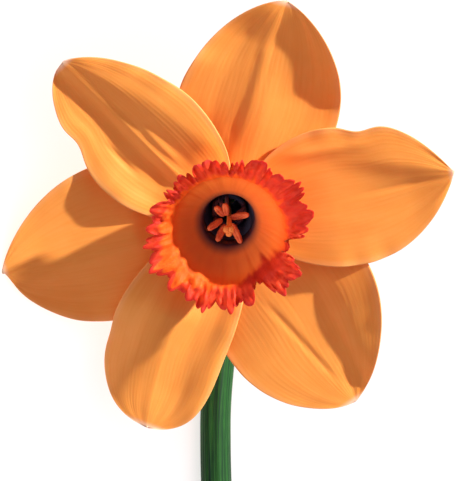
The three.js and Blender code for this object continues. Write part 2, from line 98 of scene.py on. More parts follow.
def round_the_axis(radius: Array | float, degrees: Array | float, height: Array | float) -> Array:
    """Points at a radius, an angle and a height of the head's own frame."""
    turn = np.radians(degrees)
    return grid(radius * np.cos(turn), radius * np.sin(turn), height)


def round_grid(sides: int, rows: int) -> tuple[Array, Array, Array]:
    """The coordinates of a grid that runs round a full turn.

    Args:
        sides: Points round the turn.
        rows: Rows of such points.

    Returns:
        The angles in degrees, the angles in radians, and a column of the rows' places from 0 to 1.
    """
    return (np.arange(sides) * 360 / sides, np.arange(sides) * TAU / sides,
            np.linspace(0, 1, rows)[:, None])


def unit(ways: Array) -> Array:
    """Directions brought to length 1."""
    return ways / np.linalg.norm(ways, axis=-1, keepdims=True)


def round_the_path(path: Array, across: tuple[Array, Array], aside: Array, upward: Array) -> Array:
    """Sections set square on a path.

    Args:
        path: The path's points, of shape (sections, 3).
        across: The section's two coordinates, each of shape (sections, points round).
        aside: The way of the first coordinate, one for all or one for each section.
        upward: The way of the second coordinate, likewise.

    Returns:
        Points of shape (sections, points round, 3).
    """
    first, second = (np.broadcast_to(way, path.shape)[:, None, :] for way in (aside, upward))
    return path[:, None, :] + across[0][..., None] * first + across[1][..., None] * second


def waves(x: Array | float, y: Array | float, seed: int, count: int = 7) -> Array:
    """Smooth seeded unevenness over two coordinates, from about -1 to 1.

    Args:
        x: First coordinate, where one unit is about one wave.
        y: Second coordinate, likewise.
        seed: Picks the pattern.
        count: How many waves are added up.

    Returns:
        The sum of the waves at each place.
    """
    draw = np.random.default_rng(seed)
    total = np.zeros(np.broadcast(x, y).shape)
    for _ in range(count):
        way = draw.uniform(0, TAU)
        pace = TAU * draw.uniform(*WAVE_PACES)
        total = total + np.sin(pace * (x * math.cos(way) + y * math.sin(way)) + draw.uniform(0, TAU))
    return total / math.sqrt(count) / WAVE_PEAK


def ring_waves(degrees: Array, seed: int, least: int, most: int, count: int = 6) -> Array:
    """Seeded unevenness round a ring, from about -1 to 1, which meets itself after a full turn.

    Args:
        degrees: Angles round the ring.
        seed: Picks the pattern.
        least: Fewest waves round the ring.
        most: Most waves round the ring.
        count: How many waves are added up.

    Returns:
        The sum of the waves at each angle.
    """
    draw = np.random.default_rng(seed)
    total = np.zeros(np.shape(degrees))
    for _ in range(count):
        number = int(draw.integers(least, most + 1))
        total = total + np.sin(np.radians(degrees) * number + draw.uniform(0, TAU))
    return total / math.sqrt(count) / WAVE_PEAK


def linear(red: int, green: int, blue: int) -> Colour:
    """Linear light values of a colour given in eight-bit display values."""
    def one(value: int) -> float:
        """Linear value of one channel."""
        part = value / 255
        return part / 12.92 if part <= 0.04045 else ((part + 0.055) / 1.055) ** 2.4

    return one(red), one(green), one(blue)


def spline(knots: Array, parts: Array) -> Array:
    """A smooth curve through knots that are spaced by their own distances.

    Args:
        knots: Array of shape (knots, ..., coordinates).
        parts: Where along the curve to look, from 0 to 1, by distance.

    Returns:
        Array of shape (parts, ..., coordinates).
    """
    steps = np.linalg.norm(np.diff(knots, axis=0), axis=-1)
    while steps.ndim > 1:
        steps = steps.mean(axis=-1)
    at = np.concatenate([[0.0], np.cumsum(steps)])
    at /= at[-1]
    slopes = np.empty_like(knots)
    gaps = np.diff(at).reshape((-1,) + (1,) * (knots.ndim - 1))
    chords = np.diff(knots, axis=0) / gaps
    slopes[1:-1] = (chords[:-1] * gaps[1:] + chords[1:] * gaps[:-1]) / (gaps[1:] + gaps[:-1])
    slopes[0], slopes[-1] = chords[0], chords[-1]
    cell = np.clip(np.searchsorted(at, parts, side="right") - 1, 0, len(at) - 2)
    local = ((parts - at[cell]) / (at[cell + 1] - at[cell])).reshape((-1,) + (1,) * (knots.ndim - 1))
    width = gaps[cell]
    square, cube = local**2, local**3
    return (
        (2 * cube - 3 * square + 1) * knots[cell]
        + (cube - 2 * square + local) * width * slopes[cell]
        + (3 * square - 2 * cube) * knots[cell + 1]
        + (cube - square) * width * slopes[cell + 1]
    )


# ---- Named choices ----
class Whorl(Enum):
    """Which ring of the perianth a segment belongs to."""

    OUTER = "outer"
    INNER = "inner"


class Slot(Enum):
    """The record's material slots."""

    PETAL = "petal"
    CUP = "cup"
    TUBE = "tube"
    ANTHER = "anther"
    STIGMA = "stigma"
    GREEN = "green"
    BRACT = "bract"


# ---- How the head lies on the table ----
@dataclass(frozen=True)
class HeadPlace:
    """Where the head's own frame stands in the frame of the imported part, in millimetres."""

    nod_deg: float = 15.0
    lean_deg: float = 38.0
    ovary_middle: float = -24.5
    turn: Array = field(init=False)
    throat: Array = field(init=False)

    def __post_init__(self) -> None:
        """Works out the turn from the two angles, and the place from the ovary's box."""
        nod, lean = math.radians(self.nod_deg), math.radians(self.lean_deg)
        across = np.array([0.0, math.cos(lean), math.sin(lean)])
        upward = np.array(
            [-math.cos(nod), -math.sin(lean) * math.sin(nod), math.cos(lean) * math.sin(nod)]
        )
        axis = np.cross(across, upward)
        low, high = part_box("ovary")
        middle = np.array((low + high) / 2) / MM
        object.__setattr__(self, "turn", np.stack([across, upward, axis], axis=1))
        object.__setattr__(self, "throat", middle - axis * self.ovary_middle)

    @property
    def axis(self) -> Array:
        """The flower's axis, out of the cup."""
        return self.turn[:, 2]

    def in_part(self, points: Array) -> Array:
        """Points of the head's frame, in the frame of the part."""
        return points @ self.turn.T + self.throat

    def way_in_part(self, way: Sequence[float]) -> Vector:
        """A direction of the head's frame, in the frame of the part."""
        return Vector(self.turn @ np.array(way)).normalized()


# ---- Meshes ----
def new_object(name: str, data: bpy.types.ID) -> bpy.types.Object:
    """A new object in the scene, with the given data."""
    made = bpy.data.objects.new(name, data)
    bpy.context.scene.collection.objects.link(made)
    return made


@dataclass
class MeshParts:
    """Points, faces and values of one mesh, before it becomes an object."""

    points: Array
    faces: list[tuple[int, ...]]
    uv: Array
    values: dict[str, Array] = field(default_factory=dict)

    def signed_volume(self) -> float:
        """How much space the faces close.

        Returns:
            Six times the volume, negative where the faces point inwards.
        """
        points = self.points - self.points.mean(axis=0)
        total = 0.0
        for size in (3, 4):
            corners = np.array([face for face in self.faces if len(face) == size], int).reshape(-1, size)
            for k in range(2, size):
                a, b, c = (points[corners[:, j]] for j in (0, k - 1, k))
                total += float(np.einsum("ij,ij->", a, np.cross(b, c)))
        return total

    def outward_faces(self) -> list[tuple[int, ...]]:
        """The faces, all turned to point outwards."""
        return [face[::-1] for face in self.faces] if self.signed_volume() < 0 else self.faces

    def to_object(self, name: str) -> bpy.types.Object:
        """Makes a smooth-shaded object whose faces point outwards.

        Args:
            name: The piece's name.

        Returns:
            The new object, linked to the scene, with its place in its mesh.
        """
        mesh = bpy.data.meshes.new(name)
        mesh.from_pydata((self.points * MM).tolist(), [], self.outward_faces())
        layer = mesh.uv_layers.new(name="surface")
        corner = np.zeros(len(mesh.loops), np.int32)
        mesh.loops.foreach_get("vertex_index", corner)
        layer.data.foreach_set("uv", self.uv[corner].astype(np.float32).ravel())
        for key, value in self.values.items():
            attribute = mesh.attributes.new(key, "FLOAT", "POINT")
            attribute.data.foreach_set("value", value.astype(np.float32).ravel())
        mesh.polygons.foreach_set("use_smooth", np.ones(len(mesh.polygons), bool))
        mesh.update()
        return new_object(name, mesh)


def thin_sheet(front: Array, back: Array, uv: Array, closed: bool, bulge: float = 0.5) -> MeshParts:
    """A thin skin between two grids of points, with a rounded edge.

    Args:
        front: Grid of points, of shape (rows, columns, 3).
        back: The grid behind it, of the same shape.
        uv: Grid of surface coordinates, of shape (rows, columns, 2).
        closed: Whether the columns run round and meet.
        bulge: How far the edge stands out, in half thicknesses.

    Returns:
        The closed skin, with a value "front" of 1 on its face and 0 behind.
    """
    rows, columns = front.shape[:2]
    count = rows * columns
    index = np.arange(count).reshape(rows, columns)
    right = np.roll(index, -1, axis=1) if closed else index[:, 1:]
    left = index if closed else index[:, :-1]
    a, b, c, d = left[:-1], left[1:], right[1:], right[:-1]
    quads = np.stack([a, b, c, d], axis=-1).reshape(-1, 4)
    behind = np.stack([a, d, c, b], axis=-1).reshape(-1, 4) + count
    faces = [tuple(q) for q in quads.tolist()] + [tuple(q) for q in behind.tolist()]
    if closed:
        rings = [(index[0], index[1]), (index[-1][::-1], index[-2][::-1])]
    else:
        border = np.concatenate([index[0, :-1], index[:-1, -1], index[-1, :0:-1], index[:0:-1, 0]])
        inner = np.concatenate([
            np.minimum(index[1, :-1], index[1, -2]), index[:-1, -2],
            index[-2, :0:-1], index[:0:-1, 1],
        ])
        rings = [(border, inner)]
    flat_front, flat_back = front.reshape(-1, 3), back.reshape(-1, 3)
    flat_uv = uv.reshape(-1, 2)
    points, coords = [flat_front, flat_back], [flat_uv, flat_uv]
    fronts = [np.ones(count), np.zeros(count)]
    start = 2 * count
    for ring, inside in rings:
        middle = (flat_front[ring] + flat_back[ring]) / 2
        outward = flat_front[ring] - flat_front[inside]
        outward /= np.linalg.norm(outward, axis=1, keepdims=True) + 1e-9
        half = np.linalg.norm(flat_front[ring] - flat_back[ring], axis=1, keepdims=True) / 2
        points.append(middle + outward * half * bulge)
        coords.append(flat_uv[ring])
        fronts.append(np.full(len(ring), 0.5))
        edge = start + np.arange(len(ring))
        for here, there, edge_here, edge_there in zip(
            ring, np.roll(ring, -1), edge, np.roll(edge, -1), strict=True
        ):
            faces.append((int(here), int(there), int(edge_there), int(edge_here)))
            faces.append((int(edge_here), int(edge_there), int(there) + count, int(here) + count))
        start += len(ring)
    return MeshParts(
        np.concatenate(points), faces, np.concatenate(coords), {"front": np.concatenate(fronts)}
    )


def swept(rings: Array, uv_length: float = 1.0, values: Optional[dict[str, Array]] = None) -> MeshParts:
    """A solid through a list of closed sections, closed by a point at each end.

    Args:
        rings: Points of shape (sections, points round, 3).
        uv_length: The surface coordinate along the solid at its last section.
        values: Named values, one for each section.

    Returns:
        The closed solid.
    """
    sections, sides = rings.shape[:2]
    index = np.arange(sections * sides).reshape(sections, sides)
    turned = np.roll(index, -1, axis=1)
    quads = np.stack([index[:-1], index[1:], turned[1:], turned[:-1]], axis=-1).reshape(-1, 4)
    faces: list[tuple[int, ...]] = [tuple(q) for q in quads.tolist()]
    first, last = sections * sides, sections * sides + 1
    faces += [(first, int(p), int(q)) for p, q in zip(index[0], turned[0], strict=True)]
    faces += [(last, int(q), int(p)) for p, q in zip(index[-1], turned[-1], strict=True)]
    points = np.concatenate([
        rings.reshape(-1, 3), rings[0].mean(axis=0)[None], rings[-1].mean(axis=0)[None]
    ])
    along = np.linspace(0, uv_length, sections)
    uv = grid(np.arange(sides) / sides, along[:, None]).reshape(-1, 2)
    uv = np.concatenate([uv, [[0.5, 0.0], [0.5, uv_length]]])
    made = {}
    for key, value in (values or {}).items():
        made[key] = np.concatenate([np.repeat(value, sides), value[:1], value[-1:]])
    return MeshParts(points, faces, uv, made)


def joined(pieces: Sequence[MeshParts]) -> MeshParts:
    """Several closed meshes as one.

    Args:
        pieces: The meshes.

    Returns:
        One mesh with all their values, 0 where a mesh has none of that name.
    """
    points, faces, uv, start = [], [], [], 0
    keys = set().union(*[piece.values for piece in pieces])
    values: dict[str, list[Array]] = {key: [] for key in keys}
    for piece in pieces:
        points.append(piece.points)
        uv.append(piece.uv)
        faces += [tuple(k + start for k in face) for face in piece.outward_faces()]
        for key in keys:
            values[key].append(piece.values.get(key, np.zeros(len(piece.points))))
        start += len(piece.points)
    merged = {key: np.concatenate(value) for key, value in values.items()}
    return MeshParts(np.concatenate(points), faces, np.concatenate(uv), merged)


# ---- Shader building ----
@dataclass
class Nodes:
    """A short way to add and link nodes in one tree."""

    tree: bpy.types.NodeTree

    def add(self, kind: str, inputs: Optional[dict] = None, **settings: object) -> bpy.types.Node:
        """Adds a node, sets its options, and fills or links its inputs.

        Args:
            kind: The node's type name.
            inputs: Value or output socket for each input, by name or number.
            **settings: The node's own options.

        Returns:
            The new node.
        """
        node = self.tree.nodes.new(kind)
        for key, value in settings.items():
            setattr(node, key, value)
        for key, value in (inputs or {}).items():
            self.feed(node.inputs[key], value)
        return node

    def feed(self, socket: bpy.types.NodeSocket, value: object) -> None:
        """Fills one input.

        Args:
            socket: The input.
            value: The output socket that is linked to it, or the value that it is set to.
        """
        if isinstance(value, bpy.types.NodeSocket):
            self.tree.links.new(value, socket)
        elif isinstance(value, tuple) and len(value) == 3 and socket.type == "RGBA":
            socket.default_value = (*value, 1.0)
        else:
            socket.default_value = value

    def math(self, operation: str, *values: object) -> bpy.types.NodeSocket:
        """The output of a Math node."""
        node = self.add("ShaderNodeMath", dict(enumerate(values)), operation=operation)
        return node.outputs[0]

    def step(self, value: object, start: float, end: float) -> bpy.types.NodeSocket:
        """A smooth step of a value, from 0 at start to 1 at end."""
        node = self.add("ShaderNodeMapRange", {"Value": value, "From Min": start, "From Max": end},
                        interpolation_type="SMOOTHSTEP")
        return node.outputs["Result"]

    def mix(self, amount: object, a: object, b: object, share: float = 1.0) -> bpy.types.NodeSocket:
        """The mix of two colours.

        Args:
            amount: How much of the second colour there is, a socket or a value.
            a: The first colour, a socket or a value.
            b: The second colour, likewise.
            share: What the amount is multiplied by.

        Returns:
            The mixed colour.
        """
        if share != 1.0:
            amount = self.math("MULTIPLY", amount, share)
        node = self.add("ShaderNodeMix", data_type="RGBA")
        self.feed(node.inputs[MIX_AMOUNT], amount)
        self.feed(node.inputs[MIX_A], a)
        self.feed(node.inputs[MIX_B], b)
        return node.outputs[MIX_RESULT]

    def group(self, tree: bpy.types.NodeTree, **inputs: object) -> bpy.types.Node:
        """Places a shared group with its inputs filled."""
        return self.add("ShaderNodeGroup", inputs, node_tree=tree)


def new_group(name: str, kind: str, inputs: Sockets, outputs: Sockets) -> GroupParts:
    """An empty node group with named sockets.

    Args:
        name: The group's name.
        kind: The type of its tree.
        inputs: (name, socket type) of each input.
        outputs: (name, socket type) of each output.

    Returns:
        The tree, its node helper, its input node and its output node.
    """
    tree = bpy.data.node_groups.new(name, kind)
    for side, sockets in (("INPUT", inputs), ("OUTPUT", outputs)):
        for label, socket in sockets:
            tree.interface.new_socket(label, in_out=side, socket_type=socket)
    nodes = Nodes(tree)
    return tree, nodes, nodes.add("NodeGroupInput"), nodes.add("NodeGroupOutput")


class SurfaceGroups:
    """The effects that several finishes share, each built once."""

    def __init__(self) -> None:
        """Builds the groups."""
        self.streaks = self._streaks()
        self.cells = self._cells()

    def _streaks(self) -> bpy.types.NodeTree:
        """Fine lines that run along a surface's second coordinate, as veins do.

        Returns:
            A group with inputs UV, Count, Stretch and Seed, and outputs Lines and Soft.
        """
        tree, nodes, start, end = new_group(
            "vein_streaks", "ShaderNodeTree",
            [("UV", VECTOR), ("Count", FLOAT), ("Stretch", FLOAT), ("Seed", FLOAT)],
            [("Lines", FLOAT), ("Soft", FLOAT)])
        split = nodes.add("ShaderNodeSeparateXYZ", {0: start.outputs["UV"]})
        across = nodes.math("MULTIPLY", split.outputs["X"], start.outputs["Count"])
        along = nodes.math("MULTIPLY", split.outputs["Y"], start.outputs["Stretch"])
        place = nodes.add("ShaderNodeCombineXYZ", {"X": across, "Y": along, "Z": start.outputs["Seed"]})
        fine = nodes.add("ShaderNodeTexNoise", {"Vector": place.outputs[0], "Scale": 1.0,
                                                "Detail": 3.0, "Roughness": 0.55})
        broad = nodes.add("ShaderNodeTexNoise", {"Vector": place.outputs[0], "Scale": 0.28,
                                                 "Detail": 1.0, "Roughness": 0.5})
        nodes.feed(end.inputs["Lines"], nodes.step(fine.outputs["Fac"], 0.36, 0.68))
        nodes.feed(end.inputs["Soft"], nodes.step(broad.outputs["Fac"], 0.3, 0.7))
        return tree

    def _cells(self) -> bpy.types.NodeTree:
        """The fine grain of a soft plant surface, and a slow mottle.

        Returns:
            A group with inputs Vector and Scale, and outputs Grain and Mottle.
        """
        tree, nodes, start, end = new_group(
            "plant_cells", "ShaderNodeTree",
            [("Vector", VECTOR), ("Scale", FLOAT)], [("Grain", FLOAT), ("Mottle", FLOAT)])
        fine = nodes.add("ShaderNodeTexNoise", {"Vector": start.outputs["Vector"],
                                                "Scale": start.outputs["Scale"], "Detail": 2.0})
        slow_scale = nodes.math("MULTIPLY", start.outputs["Scale"], 0.09)
        slow = nodes.add("ShaderNodeTexNoise", {"Vector": start.outputs["Vector"],
                                                "Scale": slow_scale, "Detail": 3.0})
        nodes.feed(end.inputs["Grain"], nodes.step(fine.outputs["Fac"], 0.3, 0.7))
        nodes.feed(end.inputs["Mottle"], nodes.step(slow.outputs["Fac"], 0.32, 0.68))
        return tree


@dataclass(frozen=True)
class Shine:
    """The settings of a finish that are the same all over."""

    specular: float = 0.3
    subsurface: float = 0.0
    depth_mm: float = 1.0
    depth_colour: Colour = (1.0, 0.5, 0.25)


class Finish:
    """One material: its nodes, its shader and its even settings."""

    def __init__(self, name: str, groups: SurfaceGroups, shine: Shine) -> None:
        """Starts the material.

        Args:
            name: The material's name.
            groups: The shared groups.
            shine: Its even settings.
        """
        self.material = bpy.data.materials.new(name)
        self.material.use_nodes = True
        self.nodes = Nodes(self.material.node_tree)
        self.groups = groups
        shader = self.material.node_tree.nodes["Principled BSDF"]
        shader.inputs["Specular IOR Level"].default_value = shine.specular
        if shine.subsurface > 0:
            shader.inputs["Subsurface Weight"].default_value = shine.subsurface
            shader.inputs["Subsurface Radius"].default_value = shine.depth_colour
            shader.inputs["Subsurface Scale"].default_value = shine.depth_mm * MM
        self.shader = shader

    def uv(self) -> bpy.types.NodeSocket:
        """The piece's own surface coordinates."""
        return self.nodes.add("ShaderNodeUVMap", uv_map="surface").outputs["UV"]

    def uv_split(self) -> tuple[bpy.types.NodeSocket, bpy.types.NodeSocket]:
        """The surface coordinate across and the one along."""
        split = self.nodes.add("ShaderNodeSeparateXYZ", {0: self.uv()})
        return split.outputs["X"], split.outputs["Y"]

    def place(self) -> bpy.types.NodeSocket:
        """Object coordinates."""
        return self.nodes.add("ShaderNodeTexCoord").outputs["Object"]

    def value(self, name: str) -> bpy.types.NodeSocket:
        """One of the mesh's own named values."""
        return self.nodes.add("ShaderNodeAttribute", attribute_name=name).outputs["Fac"]

    def veins(self, **inputs: float) -> tuple[bpy.types.NodeSocket, bpy.types.NodeSocket]:
        """The fine lines of the shared streaks, and their soft shade."""
        node = self.nodes.group(self.groups.streaks, UV=self.uv(), **inputs)
        return node.outputs["Lines"], node.outputs["Soft"]

    def cells(self, scale: float) -> tuple[bpy.types.NodeSocket, bpy.types.NodeSocket]:
        """The grain of the shared cells, and their mottle."""
        node = self.nodes.group(self.groups.cells, Vector=self.place(), Scale=scale)
        return node.outputs["Grain"], node.outputs["Mottle"]

    def dress(self, colour: object, roughness: object, height: object, depth_mm: float,
              strength: float) -> bpy.types.Material:
        """Feeds the shader.

        Args:
            colour: Base colour, a socket or a value.
            roughness: Roughness, a socket or a value.
            height: Height for the bump, a socket.
            depth_mm: How deep the bump is.
            strength: The bump's strength.

        Returns:
            The finished material.
        """
        bump = self.nodes.add("ShaderNodeBump", {"Height": height, "Distance": depth_mm * MM,
                                                 "Strength": strength})
        self.nodes.feed(self.shader.inputs["Base Color"], colour)
        self.nodes.feed(self.shader.inputs["Roughness"], roughness)
        self.nodes.feed(self.shader.inputs["Normal"], bump.outputs["Normal"])
        return self.material


@dataclass(frozen=True)
class Palette:
    """The flower's colours, as display values, with the painted shade tones of its throat among them."""

    petal: Colour = linear(250, 163, 76)
    petal_deep: Colour = linear(244, 150, 60)
    petal_edge: Colour = linear(254, 176, 108)
    petal_tip: Colour = linear(250, 205, 176)
    petal_back: Colour = linear(248, 164, 92)
    petal_claw: Colour = linear(246, 166, 60)
    cup: Colour = linear(244, 134, 54)
    cup_inner: Colour = linear(238, 122, 54)
    cup_deep: Colour = linear(240, 96, 24)
    # Painted shade: the dark tone painted round the cup's throat, where the cup lies in shade.
    throat_shade: Colour = linear(56, 44, 60)
    frill: Colour = linear(216, 66, 30)
    frill_dark: Colour = linear(168, 32, 26)
    tube: Colour = linear(190, 176, 62)
    tube_foot: Colour = linear(112, 142, 58)
    # Painted shade: a dark bluish tone for the tube's inner face and the filaments, which lie in the
    # throat's shade.
    bore_shade: Colour = linear(92, 94, 124)
    anther: Colour = linear(240, 126, 78)
    anther_dark: Colour = linear(218, 98, 66)
    pollen: Colour = linear(240, 140, 72)
    stigma: Colour = linear(240, 156, 78)
    leaf: Colour = linear(36, 88, 36)
    leaf_dark: Colour = linear(8, 38, 26)
    leaf_pale: Colour = linear(78, 112, 66)
    pith: Colour = linear(196, 206, 160)
    paper: Colour = linear(206, 176, 124)
    paper_dark: Colour = linear(142, 106, 66)


class Finishes:
    """Every finish of the flower, made from one palette."""

    # Where the painted shade round the throat leans: the angle it reaches furthest towards, and how far its
    # sharp and its wide bands lean there.
    shade_turn: float = math.radians(225)
    shade_shift: float = 0.035
    wide_shade_shift: float = 0.14

    def __init__(self, palette: Palette) -> None:
        """Builds all the materials.

        Args:
            palette: The flower's colours.
        """
        self.palette = palette
        self.groups = SurfaceGroups()
        self.petal = self._petal()
        self.cup = self._cup()
        self.tube = self._tube()
        self.anther = self._grainy("anther_skin", palette.anther, palette.anther_dark, 5200.0)
        self.pollen = self._grainy("pollen_grain", palette.pollen, palette.anther, 9000.0)
        # The filaments wear the tube's painted shade tone, mottled with the anthers' dark tone.
        self.filament = self._grainy("filament_shade_skin", palette.bore_shade, palette.anther_dark, 2600.0)
        self.stigma = self._grainy("stigma_skin", palette.stigma, palette.pollen, 3800.0)
        self.leaf = self._leaf()
        self.paper = self._paper()

    def _petal(self) -> bpy.types.Material:
        """Soft orange petal, with veins along it, pale margins and a paler point.

        Returns:
            The finished material.
        """
        palette = self.palette
        finish = Finish("petal_skin", self.groups, Shine(0.25, 0.3, 0.9, (1.0, 0.45, 0.2)))
        nodes = finish.nodes
        across, along = finish.uv_split()
        lines, _ = finish.veins(Count=58.0, Stretch=2.2, Seed=3.0)
        grain, mottle = finish.cells(2400.0)
        off_middle = nodes.math("ABSOLUTE", nodes.math("SUBTRACT", across, 0.5))
        back = nodes.math("SUBTRACT", 1.0, finish.value("front"))
        colour = nodes.mix(lines, palette.petal, palette.petal_deep, 0.5)
        colour = nodes.mix(mottle, colour, palette.petal_deep, 0.25)
        colour = nodes.mix(nodes.step(along, 0.3, 0.0), colour, palette.petal_claw, 0.5)
        colour = nodes.mix(nodes.step(off_middle, 0.44, 0.5), colour, palette.petal_edge, 0.55)
        colour = nodes.mix(nodes.step(along, 0.965, 1.0), colour, palette.petal_tip)
        colour = nodes.mix(back, colour, palette.petal_back, 0.6)
        roughness = nodes.math("MULTIPLY_ADD", grain, 0.12, 0.5)
        height = nodes.math("MULTIPLY_ADD", grain, 0.25, lines)
        return finish.dress(colour, roughness, height, 0.012, 0.5)

    def _cup(self) -> bpy.types.Material:
        """Deep orange cup with a red frill, and painted shade round the throat that reaches further towards
        the lower left.

        Returns:
            The finished material.
        """
        palette = self.palette
        finish = Finish("cup_skin", self.groups, Shine(0.15, 0.6, 1.6))
        nodes = finish.nodes
        across, along = finish.uv_split()
        lines, soft = finish.veins(Count=120.0, Stretch=1.6, Seed=11.0)
        grain, mottle = finish.cells(2600.0)
        colour = nodes.mix(soft, palette.cup, palette.cup_inner, 0.4)
        colour = nodes.mix(nodes.step(along, 0.5, 0.8), colour, palette.cup_deep)
        red = nodes.mix(mottle, palette.frill, palette.frill_dark, 0.7)
        red = nodes.mix(nodes.step(along, 0.93, 1.0), red, palette.frill_dark, 0.8)
        # The frill's red, partly painted shade where its band widens at the lower right.
        red_with_shade = nodes.math("MULTIPLY_ADD", mottle, 0.2, finish.value("red_with_shade"))
        colour = nodes.mix(nodes.step(red_with_shade, 0.25, 0.8), colour, red)
        # Painted shade: the throat darkens, more on the lower left, with a faint wider band of painted
        # shade round it.
        turn = nodes.math("COSINE", nodes.math("MULTIPLY_ADD", across, TAU, -self.shade_turn))
        wide_shade = nodes.math("MULTIPLY_ADD", turn, -self.wide_shade_shift, along)
        shade = nodes.math("MULTIPLY_ADD", turn, -self.shade_shift, along)
        colour = nodes.mix(nodes.step(wide_shade, 0.62, 0.3), colour, palette.throat_shade, 0.2)
        colour = nodes.mix(nodes.step(shade, 0.31, 0.12), colour, palette.throat_shade)
        roughness = nodes.math("MULTIPLY_ADD", grain, 0.15, 0.55)
        height = nodes.math("MULTIPLY_ADD", grain, 0.3, lines)
        return finish.dress(colour, roughness, height, 0.03, 0.35)

    def _tube(self) -> bpy.types.Material:
        """Yellow-green tube, greener at its foot, with a dark bluish painted shade on its inner face.

        Returns:
            The finished material.
        """
        palette = self.palette
        finish = Finish("tube_skin", self.groups, Shine(0.35))
        nodes = finish.nodes
        _, along = finish.uv_split()
        lines, _ = finish.veins(Count=40.0, Stretch=1.2, Seed=5.0)
        grain, _ = finish.cells(2600.0)
        colour = nodes.mix(nodes.step(along, 0.6, 0.0), palette.tube, palette.tube_foot)
        colour = nodes.mix(lines, colour, palette.tube_foot, 0.4)
        # Painted shade on the tube's inner face.
        colour = nodes.mix(finish.value("inside"), colour, palette.bore_shade)
        roughness = nodes.math("MULTIPLY_ADD", grain, 0.15, 0.45)
        return finish.dress(colour, roughness, lines, 0.04, 0.6)

    def _grainy(self, name: str, base: Colour, dark: Colour, scale: float) -> bpy.types.Material:
        """A fine-grained skin of two tones.

        Args:
            name: The material's name.
            base: Its main colour.
            dark: The colour of its mottle.
            scale: How fine the grain is.

        Returns:
            The finished material.
        """
        finish = Finish(name, self.groups, Shine(0.2, 0.1, 0.5))
        grain, mottle = finish.cells(scale)
        colour = finish.nodes.mix(mottle, base, dark)
        roughness = finish.nodes.math("MULTIPLY_ADD", grain, 0.2, 0.65)
        return finish.dress(colour, roughness, grain, 0.05, 0.7)

    def _leaf(self) -> bpy.types.Material:
        """Waxy green stem skin with fine lengthwise lines, and a pale cut.

        Returns:
            The finished material.
        """
        palette = self.palette
        finish = Finish("stem_skin", self.groups, Shine(0.14, 0.12, 0.8, (0.5, 1.0, 0.3)))
        nodes = finish.nodes
        lines, soft = finish.veins(Count=46.0, Stretch=7.0, Seed=8.0)
        grain, mottle = finish.cells(3000.0)
        colour = nodes.mix(lines, palette.leaf, palette.leaf_dark)
        colour = nodes.mix(soft, colour, palette.leaf_pale, 0.1)
        colour = nodes.mix(mottle, colour, palette.leaf_dark, 0.2)
        pith = nodes.mix(grain, palette.pith, palette.leaf_pale)
        colour = nodes.mix(finish.value("cut"), colour, pith)
        roughness = nodes.math("MULTIPLY_ADD", lines, 0.14, 0.38)
        return finish.dress(colour, roughness, lines, 0.05, 0.6)

    def _paper(self) -> bpy.types.Material:
        """Dry papery skin with darker veins.

        Returns:
            The finished material.
        """
        palette = self.palette
        finish = Finish("paper_skin", self.groups, Shine(0.2, 0.25, 0.8, (1.0, 0.7, 0.4)))
        nodes = finish.nodes
        _, along = finish.uv_split()
        lines, _ = finish.veins(Count=26.0, Stretch=1.4, Seed=21.0)
        grain, mottle = finish.cells(1400.0)
        colour = nodes.mix(lines, palette.paper, palette.paper_dark)
        colour = nodes.mix(mottle, colour, palette.paper, 0.5)
        colour = nodes.mix(nodes.step(along, 0.3, 0.0), colour, palette.leaf_pale)
        roughness = nodes.math("MULTIPLY_ADD", grain, 0.15, 0.7)
        return finish.dress(colour, roughness, lines, 0.06, 0.8)


def wear(piece: bpy.types.Object, material: bpy.types.Material) -> None:
    """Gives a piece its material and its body.

    Args:
        piece: The finished object.
        material: Its material.
    """
    piece.data.materials.clear()
    piece.data.materials.append(material)
    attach(piece, BODY)
    LOG.info("%s: %d points, %d faces", piece.name, len(piece.data.vertices), len(piece.data.polygons))


